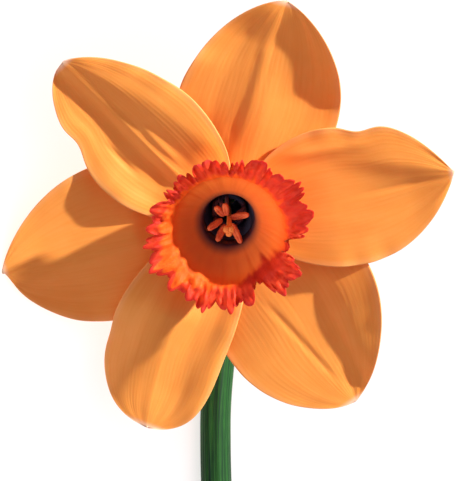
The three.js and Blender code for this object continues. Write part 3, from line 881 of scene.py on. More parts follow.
# ---- Geometry node trees ----
class Repeats:
    """The node trees that repeat a form, each with named inputs."""

    grain_sizes: tuple[float, float] = (0.6, 1.3)

    def __init__(self) -> None:
        """Builds the trees."""
        self.tubes = self._tubes()
        self.ring = self._ring()
        self.grains = self._grains()

    @staticmethod
    def _start(name: str, inputs: Sockets) -> GroupParts:
        """An empty tree with geometry in and out, the given inputs and a material."""
        shape = ("Geometry", GEOMETRY)
        return new_group(name, "GeometryNodeTree", [shape, *inputs, ("Finish", MATERIAL)], [shape])

    @staticmethod
    def _finish(nodes: Nodes, start: bpy.types.Node, end: bpy.types.Node,
                shape: bpy.types.NodeSocket) -> None:
        """Realises the instances, shades them smooth and sets their material.

        Args:
            nodes: The tree's node helper.
            start: The tree's input node.
            end: The tree's output node.
            shape: The geometry so far.
        """
        real = nodes.add("GeometryNodeRealizeInstances", {0: shape})
        even = nodes.add("GeometryNodeSetShadeSmooth", {"Geometry": real.outputs[0]})
        dressed = nodes.add("GeometryNodeSetMaterial",
                            {"Geometry": even.outputs[0], "Material": start.outputs["Finish"]})
        nodes.feed(end.inputs["Geometry"], dressed.outputs[0])

    def _tubes(self) -> bpy.types.NodeTree:
        """Round tubes along lines of edges.

        Returns:
            A tree with inputs Radius, Sides and Finish.
        """
        tree, nodes, start, end = self._start(
            "tubes_on_lines", [("Radius", FLOAT), ("Sides", INTEGER)])
        lines = nodes.add("GeometryNodeMeshToCurve", {"Mesh": start.outputs["Geometry"]})
        circle = nodes.add("GeometryNodeCurvePrimitiveCircle",
                           {"Resolution": start.outputs["Sides"], "Radius": start.outputs["Radius"]})
        tubes = nodes.add("GeometryNodeCurveToMesh",
                          {"Curve": lines.outputs[0], "Profile Curve": circle.outputs[0],
                           "Fill Caps": True})
        self._finish(nodes, start, end, tubes.outputs[0])
        return tree

    def _ring(self) -> bpy.types.NodeTree:
        """One form on each point, turned and sized by the point's own values.

        Returns:
            A tree with inputs Form and Finish, which reads the values turn and size.
        """
        tree, nodes, start, end = self._start("ring_of_forms", [("Form", OBJECT)])
        form = nodes.add("GeometryNodeObjectInfo", {"Object": start.outputs["Form"]})
        turn = nodes.add("GeometryNodeInputNamedAttribute", {"Name": "turn"}, data_type="FLOAT_VECTOR")
        size = nodes.add("GeometryNodeInputNamedAttribute", {"Name": "size"}, data_type="FLOAT_VECTOR")
        rotation = nodes.add("FunctionNodeEulerToRotation", {0: turn.outputs["Attribute"]})
        copies = nodes.add("GeometryNodeInstanceOnPoints",
                           {"Points": start.outputs["Geometry"], "Instance": form.outputs["Geometry"],
                            "Rotation": rotation.outputs[0], "Scale": size.outputs["Attribute"]})
        self._finish(nodes, start, end, copies.outputs[0])
        return tree

    def _grains(self) -> bpy.types.NodeTree:
        """Small round grains scattered on a surface.

        Returns:
            A tree with inputs Radius, Density, Seed and Finish.
        """
        tree, nodes, start, end = self._start(
            "scattered_grains", [("Radius", FLOAT), ("Density", FLOAT), ("Seed", INTEGER)])
        places = nodes.add("GeometryNodeDistributePointsOnFaces",
                           {"Mesh": start.outputs["Geometry"], "Density": start.outputs["Density"],
                            "Seed": start.outputs["Seed"]})
        grain = nodes.add("GeometryNodeMeshIcoSphere", {"Radius": start.outputs["Radius"],
                                                        "Subdivisions": 1})
        least, most = self.grain_sizes
        size = nodes.add("FunctionNodeRandomValue", data_type="FLOAT")
        nodes.feed(size.inputs[RANDOM_LEAST], least)
        nodes.feed(size.inputs[RANDOM_MOST], most)
        nodes.feed(size.inputs["Seed"], start.outputs["Seed"])
        copies = nodes.add("GeometryNodeInstanceOnPoints",
                           {"Points": places.outputs["Points"], "Instance": grain.outputs["Mesh"],
                            "Scale": size.outputs[RANDOM_RESULT]})
        self._finish(nodes, start, end, copies.outputs[0])
        return tree

    @staticmethod
    def grow(name: str, source: bpy.types.Object, tree: bpy.types.NodeTree,
             **inputs: object) -> bpy.types.Object:
        """Runs a tree on an object and keeps the result as a plain mesh.

        Args:
            name: The new piece's name.
            source: The object that the tree starts from. It is removed.
            tree: The node tree.
            **inputs: Value of each named input.

        Returns:
            The new plain object at the origin.
        """
        modifier = source.modifiers.new("grow", "NODES")
        modifier.node_group = tree
        sockets = {s.name: s.identifier for s in tree.interface.items_tree
                   if s.item_type == "SOCKET" and s.in_out == "INPUT"}
        for key, value in inputs.items():
            modifier[sockets[key]] = value
        source.update_tag()
        depsgraph = bpy.context.evaluated_depsgraph_get()
        mesh = bpy.data.meshes.new_from_object(
            source.evaluated_get(depsgraph), preserve_all_data_layers=True, depsgraph=depsgraph)
        source.modifiers.remove(modifier)
        bpy.data.objects.remove(source)
        mesh.name = name
        return new_object(name, mesh)


def loose(name: str, points: Array, edges: Sequence[tuple[int, int]] = (),
          vectors: Optional[dict[str, Array]] = None) -> bpy.types.Object:
    """An object of bare points and edges for a node tree to start from.

    Args:
        name: Its name.
        points: Places in millimetres, in the frame of the part.
        edges: Pairs of points.
        vectors: Named vector values, one for each point.

    Returns:
        The object, linked to the scene.
    """
    mesh = bpy.data.meshes.new(name)
    mesh.from_pydata((points * MM).tolist(), list(edges), [])
    for key, value in (vectors or {}).items():
        attribute = mesh.attributes.new(key, "FLOAT_VECTOR", "POINT")
        attribute.data.foreach_set("vector", np.asarray(value, np.float32).ravel())
    return new_object(name, mesh)


def loose_lines(name: str, lines: Sequence[Array]) -> bpy.types.Object:
    """An object of bare lines for a node tree to start from.

    Args:
        name: Its name.
        lines: The points of each line in millimetres, in the frame of the part.

    Returns:
        The object, linked to the scene.
    """
    edges, start = [], 0
    for line in lines:
        edges += [(start + k, start + k + 1) for k in range(len(line) - 1)]
        start += len(line)
    return loose(name, np.concatenate(lines), edges)


# ---- The perianth segments ----
@dataclass(frozen=True)
class Margin:
    """One side of a segment, from its midrib to its margin, in millimetres."""

    width: float
    widest: float
    full: float
    sharp: float
    lift: float
    lift_from: float
    curve: float = 2.2
    dent: float = 0.0
    dent_at: float = 0.64
    dent_length: float = 0.09


@dataclass(frozen=True)
class Fold:
    """A ridge along a segment, or a furrow where its height is negative, in millimetres.

    foot and tip are its places across the segment at the claw and at the point. It falls away over
    minus_skirt on the clockwise side and over plus_skirt on the other.
    """

    foot: float
    tip: float
    height: float
    minus_skirt: float
    plus_skirt: float
    start: float = 0.0
    end: float = 1.2
    fade: float = 0.14

    def at(self, s: Array, sideways: Array) -> Array:
        """Its height at each place."""
        away = sideways - lerp(self.foot, self.tip, s)
        skirt = np.where(away < 0, self.minus_skirt, self.plus_skirt)
        ends = smooth(self.start, self.start + self.fade, s) * smooth(self.end, self.end - self.fade, s)
        return self.height * ends * bell(away / skirt)


@dataclass(frozen=True)
class Segment:
    """One perianth segment. minus is the side clockwise of the midrib, seen from the front."""

    name: str
    node: str
    whorl: Whorl
    angle: float
    length: float
    tip_lift: float
    plus: Margin
    minus: Margin
    folds: tuple[Fold, ...] = ()
    sweep: float = 0.0
    seed: int = 1


SEGMENTS = (
    Segment("petal_top", "outer_tepal_1", Whorl.OUTER, 75.8, 49.5, 2.4,
            Margin(17.2, 0.45, 1.6, 0.62, 2.6, 0.1, curve=1.2),
            Margin(17.4, 0.45, 2.0, 0.7, 6.6, 0.5, curve=1.2),
            folds=(Fold(0.6, 0.4, 2.2, 7.0, 4.8, 0.0, fade=0.5),
                   Fold(4.4, 2.4, -0.3, 1.2, 1.2, 0.2, 0.8)),
            seed=1),
    Segment("petal_right", "inner_tepal_1", Whorl.INNER, 13.0, 49.4, 0.6,
            Margin(15.4, 0.4, 3.0, 1.0, 0.6, 0.5, dent=1.8, dent_at=0.58),
            Margin(15.6, 0.48, 2.2, 0.83, 1.2, 0.05),
            folds=(Fold(15.0, 1.6, 2.0, 3.6, 9.0, 0.3, fade=0.6),
                   Fold(11.5, 9.5, 0.5, 1.6, 1.4, 0.1, 0.7, 0.25),
                   Fold(-0.5, -0.8, -0.35, 0.9, 0.9, 0.4, fade=0.4)),
            seed=2),
    Segment("petal_lower_right", "outer_tepal_2", Whorl.OUTER, -56.2, 50.2, 0.6,
            Margin(19.6, 0.42, 1.7, 0.74, 4.3, 0.16, curve=1.3),
            Margin(17.8, 0.45, 2.3, 0.66, 0.8, 0.5),
            folds=(Fold(9.0, 3.2, -0.9, 4.5, 2.6, 0.3),
                   Fold(-6.0, 0.0, -0.25, 0.8, 0.8, 0.3, 0.9)),
            seed=3),
    Segment("petal_bottom", "inner_tepal_2", Whorl.INNER, 248.8, 49.9, 0.6,
            Margin(12.8, 0.5, 3.2, 0.54, 0.0, 0.2),
            Margin(12.9, 0.5, 3.4, 0.5, -6.0, 0.35, curve=1.2, dent=0.5),
            folds=(Fold(12.4, 9.6, 1.2, 3.4, 3.0, 0.15),
                   Fold(1.0, -9.6, 3.2, 5.0, 7.0, 0.22, fade=0.2)),
            sweep=-2.6, seed=4),
    Segment("petal_left", "outer_tepal_3", Whorl.OUTER, 193.4, 50.5, 0.6,
            Margin(17.5, 0.5, 2.3, 0.76, -3.4, 0.3, 1.3, dent=1.6, dent_at=0.975, dent_length=0.035),
            Margin(17.6, 0.47, 1.7, 0.78, 0.9, 0.3),
            folds=(Fold(-3.4, 4.0, 1.8, 7.0, 4.0, 0.2),),
            seed=5),
    Segment("petal_upper_left", "inner_tepal_3", Whorl.INNER, 135.4, 49.6, 0.4,
            Margin(13.9, 0.44, 1.8, 0.5, 0.3, 0.3, curve=1.2, dent=1.6, dent_at=0.655),
            Margin(13.7, 0.42, 1.6, 0.64, 0.0, 0.2),
            folds=(Fold(-12.0, -3.4, 1.9, 10.0, 5.4, 0.1),
                   Fold(3.8, 2.3, -1.1, 3.0, 6.0, 0.1),
                   Fold(0.9, 0.7, 0.7, 1.3, 1.6, 0.1),
                   Fold(12.5, 12.5, 1.0, 3.5, 3.5, 0.1, 0.55),
                   Fold(0.0, 0.0, -1.8, 40.0, 40.0, 0.3, fade=0.4),
                   Fold(-1.8, -1.4, 0.35, 0.9, 0.9, 0.2, 0.55),
                   Fold(6.8, 6.8, -0.35, 0.8, 0.8, 0.3, 0.6)),
            seed=6),
)


@dataclass
class Perianth:
    """The six segments, on the same rule as the solids and much finer."""

    place: HeadPlace
    finishes: Finishes
    rows: int = 110
    columns: int = 150
    row_crowding: float = 0.97
    claw_radius: float = 5.9
    claw_half_width: float = 5.0
    claw_flare: float = 0.55
    inner_claw_top: float = 0.6
    inner_lift: float = 1.1
    outer_below: float = 1.15
    outer_sink: float = 0.4
    outer_press: float = 1.2
    press_from: float = 0.4
    press_to: float = 0.62
    lift_run: float = 0.35
    tip_from: float = 0.75
    point_half_width: float = 0.9
    point_least: float = 0.25
    sweep_roundness: float = 0.8
    edge_thickness: float = 0.38
    rib_thickness: float = 0.75
    rib_width: float = 0.12
    vein_count: float = 30.0
    vein_height: float = 0.006
    vein_bend: float = 0.04
    fine_unevenness: float = 0.05
    broad_unevenness: float = 0.08
    ripple: float = 0.16

    def half_width(self, side: Margin, s: Array) -> Array:
        """How wide one side is.

        Args:
            side: The side's margin.
            s: Places from the claw, 0, to the point, 1.

        Returns:
            The side's half width at each place.
        """
        rise = np.sin(math.pi / 2 * np.minimum(1, s / side.widest)) ** self.claw_flare
        inner = lerp(self.claw_half_width, side.width, rise)
        outward = np.maximum(0, (s - side.widest) / (1 - side.widest))
        taper = np.maximum(0, 1 - outward**side.full) ** side.sharp
        dent = side.dent * bell((s - side.dent_at) / side.dent_length)
        point = self.point_half_width * np.sqrt(np.maximum(0, 1.02 - s)) + self.point_least
        return np.maximum(inner * taper - dent, point)

    def height(self, segment: Segment, s: Array, q: Array, half: Array) -> Array:
        """Height of a segment's face over the throat's level, before its fine detail.

        Args:
            segment: Its shape.
            s: Places from the claw, 0, to the point, 1.
            q: Places across, from -1 to 1.
            half: The half width at each place.

        Returns:
            The height at each place.
        """
        edge = np.abs(q)

        def side(value: Callable[[Margin], Array | float]) -> Array:
            """A value of the side that each place is on."""
            return np.where(q < 0, value(segment.minus), value(segment.plus))

        if segment.whorl is Whorl.OUTER:
            base = self.inner_claw_top - self.outer_below - self.outer_sink * smooth(0, 0.25, s)
            under = smooth(0, 0.12, s) * (1 - smooth(self.press_from, self.press_to, s))
            pressed = self.outer_press * edge**2 * under
        else:
            base = self.inner_claw_top + self.inner_lift * smooth(0, 0.4, s)
            pressed = 0.0
        out = edge * half / side(lambda m: m.width)
        margin = side(
            lambda m: m.lift * smooth(m.lift_from, m.lift_from + self.lift_run, s) * out**m.curve)
        tip = segment.tip_lift * smooth(self.tip_from, 1, s)
        folds = sum(fold.at(s, q * half) for fold in segment.folds)
        return base + margin - pressed + folds + tip

    def detail(self, segment: Segment, s: Array, q: Array) -> Array:
        """Veins and soft unevenness that only the dressed flower has.

        Args:
            segment: Its shape.
            s: Places from the claw, 0, to the point, 1.
            q: Places across, from -1 to 1.

        Returns:
            The height that they add at each place.
        """
        fade = smooth(0, 0.12, s) * smooth(1.0, 0.93, s)
        bend = self.vein_bend * waves(s * 2, q * 0, segment.seed + 40)
        uneven = 1 + 0.8 * waves(q * 4, s * 1.5, segment.seed + 80)
        vein = np.sin(TAU * self.vein_count / 2 * (q + bend)) * self.vein_height * uneven
        fine = self.fine_unevenness * waves(q * 3.2, s * 1.6, segment.seed)
        broad = self.broad_unevenness * waves(q * 1.2, s * 2.4, segment.seed + 20)
        flutter = self.ripple * np.abs(q) ** 5 * waves(s * 6, np.sign(q) * 3, segment.seed + 60)
        return fade * (vein + fine + broad) + smooth(0.1, 0.3, s) * flutter

    def build(self, segment: Segment) -> None:
        """Builds and dresses one segment.

        Args:
            segment: Its shape.
        """
        s, q = np.meshgrid(np.linspace(0, 1, self.rows) ** self.row_crowding,
                           np.linspace(-1, 1, self.columns), indexing="ij")
        half = np.where(q < 0, self.half_width(segment.minus, s), self.half_width(segment.plus, s))
        swept_over = segment.sweep * np.maximum(0, np.sin(math.pi * s)) ** self.sweep_roundness
        along = round_the_axis(1.0, segment.angle, 0.0)
        aside = round_the_axis(1.0, segment.angle + 90, 0.0)
        reach = lerp(self.claw_radius, segment.length, s)
        front = reach[..., None] * along + (q * half + swept_over)[..., None] * aside
        front[..., 2] = self.height(segment, s, q, half) + self.detail(segment, s, q)
        midrib = bell(q / self.rib_width) * (1 - 0.5 * s)
        rib = midrib + smooth(0.12, 0.0, s) + smooth(0.97, 1.0, s)
        back = front.copy()
        back[..., 2] -= lerp(self.edge_thickness, self.rib_thickness, np.clip(rib, 0, 1))
        uv = grid((q + 1) / 2, s)
        sheet = thin_sheet(self.place.in_part(front), self.place.in_part(back), uv, closed=False)
        piece = sheet.to_object(segment.name)
        wear(piece, self.finishes.petal)
        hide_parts(segment.node)


# ---- The cup ----
# The lobes of the rim: (degrees, reach in millimetres, half width in degrees).
LOBES = (
    (5.2, 16.4, 6.5), (18.5, 18.4, 8), (37.7, 18.9, 9), (52, 17.3, 8), (67.6, 17.9, 9), (81, 16.3, 8),
    (97.4, 16.3, 7), (110.7, 17.2, 8), (131, 16.5, 8), (146.3, 15.9, 8), (162.6, 17.1, 9),
    (177, 17.2, 7), (189.7, 18.2, 5), (206.5, 18.7, 8), (224.2, 17.7, 8), (237.5, 17.2, 7),
    (250.6, 18.1, 7), (268.6, 17.4, 8), (284.5, 16.4, 7), (314.5, 17.4, 7), (328.5, 17.4, 7.5),
)
# How wide the red band of the frill is, as a part of the cup's depth: (degrees, width). The red is the
# frill's own colour, but the band is widened at the lower right, where the wall lies in shade, and narrowed
# on the lit lower left, which is painted shade.
RED_BAND_WITH_SHADE = (
    (0, 0.28), (45, 0.27), (90, 0.24), (120, 0.24), (145, 0.2), (170, 0.12), (190, 0.16),
    (206, 0.07), (228, 0.08), (245, 0.18), (262, 0.22), (290, 0.4), (316, 0.6), (345, 0.32),
)


@dataclass
class Cup:
    """The frilled cup, or corona."""

    place: HeadPlace
    finishes: Finishes
    around: int = 840
    rows: int = 54
    sleeve: tuple[tuple[float, float], ...] = ((5.3, -2.6), (5.45, -0.8))
    inside: tuple[tuple[float, float], ...] = (
        (5.8, 0.9), (6.9, 2.1), (8.5, 3.9), (10.1, 6.1), (11.4, 8.5), (12.4, 11.0))
    rim_height: float = 13.4
    rim_tilt: float = 0.33
    mean_reach: float = 16.8
    high_side_deg: float = 33.0
    high_side: float = 0.21
    lobe_fall: float = 1.5
    notch_radius: float = 12.6
    sleeve_wall: float = 0.12
    foot_wall: float = 0.75
    rim_wall: float = 0.34
    foot_slope_deg: float = 25.0
    rim_slope_deg: float = 50.0
    scallops: int = 23
    scallop_depth: float = 1.4
    scallop_roundness: float = 0.55
    ruffle: float = 0.75
    bead: float = 0.36
    fold: float = 0.10
    fine_fold: float = 0.03

    def rim_radius(self, degrees: Array) -> Array:
        """How far the rim reaches from the axis at each angle.

        Args:
            degrees: Angles round the rim.

        Returns:
            The reach of the lobes, and of the notches between them.
        """
        reach = np.full(np.shape(degrees), self.notch_radius)
        for at, radius, half in LOBES:
            away = np.abs((degrees - at + 540) % 360 - 180)
            reach = np.maximum(reach, radius - self.lobe_fall * (away / half) ** 2)
        return reach

    def ripple_phase(self, degrees: Array) -> Array:
        """Phase of the frill's waves, which are uneven round the rim."""
        return np.radians(degrees) * self.scallops + 1.9 * ring_waves(degrees, 12, 5, 17)

    def surface(self, degrees: Array, parts: Array) -> Array:
        """The cup's inner face.

        Args:
            degrees: Angles round the cup.
            parts: Places up its wall, from 0 to 1.

        Returns:
            (radius, height) at each place and angle.
        """
        reach = self.rim_radius(degrees)
        height = self.rim_height + self.rim_tilt * (reach - self.mean_reach)
        bump = np.abs(np.sin(self.ripple_phase(degrees))) ** self.scallop_roundness
        reach = reach + self.scallop_depth * (bump - 0.8) + 0.04 * ring_waves(degrees, 6, 80, 130, 9)
        throat, under = self.inside[-1]
        knots = [grid(np.full_like(reach, r), h) for r, h in self.sleeve + self.inside]
        knots.append(grid(lerp(throat, reach, 0.5), lerp(under, height, 0.6)))
        knots.append(grid(reach, height))
        face = spline(np.stack(knots), parts)
        foot = self.inside[0][1]
        rise = 1 + self.high_side * np.cos(np.radians(degrees - self.high_side_deg))
        face[..., 1] = foot + np.where(face[..., 1] > foot, rise, 1.0) * (face[..., 1] - foot)
        return face

    def red_with_shade(self, degrees: Array, parts: Array) -> Array:
        """How red the cup is: the frill's own red, in a band whose width is partly painted shade.

        Args:
            degrees: Angles round the cup.
            parts: Places up its wall, from 0 to 1.

        Returns:
            The redness at each place and angle, from 0 to 1.
        """
        band = np.interp(degrees, *np.transpose(RED_BAND_WITH_SHADE), period=360)
        band = band + 0.035 * ring_waves(degrees, 31, 18, 60, 8)
        depth = 1 - parts[:, None]
        return 1 - smooth(0.35, 1.25, depth / np.maximum(0.03, band)[None, :])

    def build(self) -> None:
        """Builds and dresses the cup."""
        degrees, _, t = round_grid(self.around, self.rows)
        radius, height = np.moveaxis(self.surface(degrees, t[:, 0]), -1, 0)
        frill = smooth(0.8, 1.0, t)
        pucker = np.sin(self.ripple_phase(degrees)) + 0.2 * ring_waves(degrees, 14, 40, 70)
        broad, fine = ring_waves(degrees, 17, 9, 22), ring_waves(degrees, 18, 30, 60)
        radius = radius + smooth(0.12, 0.5, t) * (self.fold * broad + self.fine_fold * fine) * (1 - frill)
        beads = waves(degrees / 7.0, t * 8, 77) + 0.1 * waves(degrees / 3.4, t * 16, 78)
        height = height + frill * self.ruffle * pucker + smooth(0.68, 0.9, t) * self.bead * beads
        front = round_the_axis(radius, degrees, height)
        wall = lerp(self.foot_wall, self.rim_wall, smooth(0.25, 1.0, t))
        wall = lerp(self.sleeve_wall, wall, smooth(0.1, 0.24, t))
        slope = np.radians(lerp(self.foot_slope_deg, self.rim_slope_deg, smooth(0.5, 1, t)))
        back = round_the_axis(radius + wall * np.cos(slope), degrees, height - wall * np.sin(slope))
        uv = grid(degrees / 360, t)
        sheet = thin_sheet(self.place.in_part(front), self.place.in_part(back), uv, closed=True)
        red_with_shade = self.red_with_shade(degrees, t[:, 0])
        faces = red_with_shade.reshape(-1)
        sheet.values["red_with_shade"] = np.concatenate([faces, faces, red_with_shade[0], red_with_shade[-1][::-1]])
        piece = sheet.to_object("frilled_cup")
        wear(piece, self.finishes.cup)
        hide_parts("corona")


# ---- Tube, stamens, style and ovary ----
@dataclass
class Throat:
    """What stands in and behind the middle of the flower.

    anthers holds the middle of each anther, across and up, the side it leans to and its lean, in degrees.
    Each grid is how many points run round a piece and how many rows along it.
    """

    place: HeadPlace
    finishes: Finishes
    repeats: Repeats
    tube_top: float = -1.7
    tube_length: float = 18.0
    mouth_radius: float = 7.0
    foot_radius: float = 3.0
    mouth_bore: float = 5.6
    foot_bore: float = 1.6
    tube_flare: float = 1.2
    bore_flare: float = 0.8
    tube_rib: float = 0.10
    tube_grid: tuple[int, int] = (144, 40)
    anthers: tuple[tuple[float, float, float, float], ...] = (
        (2.3, 0.75, 18, 58), (-0.7, 2.2, 98, 42), (-2.0, 1.8, 122, 40), (-3.0, -1.1, 204, 42),
        (-1.7, -3.0, 236, 40), (1.6, -3.1, 297, 66))
    anther_length: float = 4.8
    anther_radius: float = 0.82
    anther_height: float = 0.4
    anther_grid: tuple[int, int] = (28, 20)
    pollen_radius: float = 0.075
    pollen_density: float = 3.2e6
    filament_radius: float = 0.42
    filament_foot: float = -10.0
    filament_grid: tuple[int, int] = (12, 14)
    collar_height: float = 3.0
    collar_wall: float = 0.9
    collar_grid: tuple[int, int] = (96, 6)
    stigma_deg: float = 270.0
    stigma_reach: float = 1.5
    stigma_height: float = 4.2
    lobe_radius: float = 0.78
    lobe_reach: float = 0.55
    lobe_rows: int = 16
    down_radius: float = 0.07
    down_density: float = 9.0e6
    style_radius: float = 0.6
    style_grid: tuple[int, int] = (24, 60)
    ovary_length: float = 9.0
    ovary_radius: float = 3.5
    ovary_end_radius: float = 2.4
    furrow: float = 0.22
    ovary_grid: tuple[int, int] = (96, 40)
    gap: float = 0.3

    @property
    def tube_foot(self) -> float:
        """Height of the tube's lower end."""
        return self.tube_top - self.tube_length

    @property
    def ovary_top(self) -> float:
        """Height of the ovary's upper end."""
        return self.tube_foot - self.gap

    @property
    def collar_top(self) -> float:
        """Height of the upper end of the filaments' collar."""
        return self.filament_foot + self.collar_height

    @property
    def collar_radius(self) -> float:
        """The collar's outer radius, which clears the tube's bore."""
        return self.bore(self.filament_foot) - self.gap

    def bore(self, height: Array | float) -> Array | float:
        """The tube's inner radius at a height."""
        part = (height - self.tube_foot) / self.tube_length
        return lerp(self.foot_bore, self.mouth_bore, part**self.bore_flare)

    def build_tube(self) -> None:
        """Builds the hollow tube behind the segments, faintly six-ribbed."""
        degrees, turn, part = round_grid(*self.tube_grid)
        heights = self.tube_foot + part * self.tube_length
        rib = self.tube_rib * np.cos(turn * 6) + 0.03 * ring_waves(degrees, 3, 20, 44)
        outside = lerp(self.foot_radius, self.mouth_radius, part**self.tube_flare) + rib
        front = self.place.in_part(round_the_axis(self.bore(heights), degrees, heights))
        back = self.place.in_part(round_the_axis(outside, degrees, heights))
        sheet = thin_sheet(front, back, grid(degrees / 360, part), closed=True, bulge=0.0)
        sheet.values["inside"] = sheet.values.pop("front")
        piece = sheet.to_object("flower_tube")
        wear(piece, self.finishes.tube)
        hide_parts("floral_tube")

    def _anther_form(self) -> bpy.types.Object:
        """One anther along +Z, of length 2 and radius 1, with a groove down its face.

        Returns:
            An object of its own, which is removed once it has been repeated.
        """
        _, turn, part = round_grid(*self.anther_grid)
        level = lerp(POLE, math.pi - POLE, part)
        lobed = 1 - 0.34 * bell((turn - math.pi) / 0.34) - 0.16 * bell(np.minimum(turn, TAU - turn) / 0.3)
        lobed = lobed + 0.05 * waves(turn, level * 1.6, 91)
        girth = np.sin(level) ** 0.62
        z = -np.cos(level)
        bow = 0.12 * (1 - z**2)
        rings = grid(girth * lobed * np.cos(turn) + bow, 0.92 * girth * lobed * np.sin(turn), z)
        return swept(rings / MM).to_object("anther_form")

    def _filament(self, middle: Array, side: float) -> Array:
        """The line of one filament, from the collar to its anther.

        Args:
            middle: The anther's middle, in the head's frame.
            side: The side of the collar that it stands on, in degrees.

        Returns:
            The line's points, in the frame of the part.
        """
        reach = self.collar_radius - 0.5
        knots = np.stack([
            round_the_axis(reach, side, self.filament_foot + 1),
            round_the_axis(reach, side, self.collar_top + 2),
            np.array([0.8 * middle[0], 0.8 * middle[1], -2.4]), middle])
        return self.place.in_part(spline(knots, np.linspace(0, 1, self.filament_grid[1])))

    def build_stamens(self) -> None:
        """Builds six anthers on filaments, their pollen, and the collar of their feet."""
        middles, turns, lines = [], [], []
        for x, y, side, lean in self.anthers:
            middle = np.array([x, y, self.anther_height])
            tilt = Matrix.Rotation(math.radians(side), 3, "Z") @ Matrix.Rotation(math.radians(lean), 3, "Y")
            whole = Matrix(self.place.turn.tolist()) @ tilt
            middles.append(self.place.in_part(middle))
            turns.append(tuple(whole.to_euler("XYZ")))
            lines.append(self._filament(middle, side))
        size = np.array([self.anther_radius, self.anther_radius, self.anther_length / 2]) * MM
        form = self._anther_form()
        places = loose("anther_places", np.array(middles),
                       vectors={"turn": turns, "size": [size] * len(middles)})
        anthers = self.repeats.grow("anthers", places, self.repeats.ring, Form=form,
                                    Finish=self.finishes.anther)
        bpy.data.objects.remove(form)
        dusted = new_object("dusted", anthers.data.copy())
        pollen = self.repeats.grow("pollen", dusted, self.repeats.grains,
                                   Radius=self.pollen_radius * MM, Density=self.pollen_density, Seed=4,
                                   Finish=self.finishes.pollen)
        threads = loose_lines("filament_lines", lines)
        filaments = self.repeats.grow("filaments", threads, self.repeats.tubes,
                                      Radius=self.filament_radius * MM, Sides=self.filament_grid[0],
                                      Finish=self.finishes.filament)
        wear(anthers, self.finishes.anther)
        wear(pollen, self.finishes.pollen)
        wear(filaments, self.finishes.filament)
        self._build_collar()
        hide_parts("stamens")

    def _build_collar(self) -> None:
        """Builds the collar of the filaments' feet."""
        degrees, _, part = round_grid(*self.collar_grid)
        heights = lerp(self.filament_foot, self.collar_top, part)
        inner = self.collar_radius - self.collar_wall
        front = self.place.in_part(round_the_axis(inner, degrees, heights))
        back = self.place.in_part(round_the_axis(self.collar_radius, degrees, heights))
        collar = thin_sheet(front, back, grid(degrees / 360, heights), closed=True)
        wear(collar.to_object("filament_collar"), self.finishes.filament)

    def build_style(self) -> None:
        """Builds the style and its three-lobed, downy stigma."""
        head = round_the_axis(self.stigma_reach, self.stigma_deg, self.stigma_height)
        knots = np.stack([
            np.array([0, 0, self.ovary_top + self.gap]), np.array([0, 0, -8.0]),
            round_the_axis(0.05, self.stigma_deg, -1.5), round_the_axis(0.5, self.stigma_deg, 1.6), head])
        _, turn, part = round_grid(*self.style_grid)
        path = spline(knots, part[:, 0])
        way = unit(np.gradient(path, axis=0))
        side = unit(np.cross([0.0, 1.0, 0.0], way))
        radius = self.style_radius * (0.82 + 0.3 * smooth(0.8, 1.0, part))
        spread = radius * (1 + 0.08 * np.cos(3 * turn))
        across = spread * np.cos(turn), spread * np.sin(turn)
        rings = round_the_path(path, across, side, np.cross(way, side))
        pieces = [swept(self.place.in_part(rings))]
        level = np.linspace(POLE, math.pi - POLE, self.lobe_rows)[:, None]
        ball = grid(np.sin(level) * np.cos(turn), np.sin(level) * np.sin(turn), -np.cos(level) * 0.9)
        for lobe_deg in (30, 150, 270):
            size = self.lobe_radius + 0.05 * waves(turn, level, lobe_deg)
            centre = head + round_the_axis(self.lobe_reach, lobe_deg, 0.05)
            pieces.append(swept(self.place.in_part(ball * size[..., None] + centre)))
        whole = joined(pieces).to_object("style_and_stigma")
        tops = joined(pieces[1:]).to_object("stigma_tops")
        down = self.repeats.grow("stigma_down", tops, self.repeats.grains,
                                 Radius=self.down_radius * MM, Density=self.down_density, Seed=9,
                                 Finish=self.finishes.stigma)
        wear(whole, self.finishes.stigma)
        wear(down, self.finishes.stigma)
        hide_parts("style")

    def build_ovary(self) -> None:
        """Builds the ovary, with three shallow furrows."""
        degrees, _, part = round_grid(*self.ovary_grid)
        bulge = np.maximum(0, np.sin(math.pi * part)) ** 0.8
        furrow = self.furrow * bulge * bell((degrees % 120 - 60) / 16)
        radius = lerp(self.ovary_end_radius, self.ovary_radius, bulge) - furrow
        heights = self.ovary_top - self.ovary_length + part * self.ovary_length
        rings = self.place.in_part(round_the_axis(radius, degrees, heights))
        piece = swept(rings, 0.2, {"cut": np.zeros(len(rings))}).to_object("ovary_body")
        wear(piece, self.finishes.leaf)
        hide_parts("ovary")


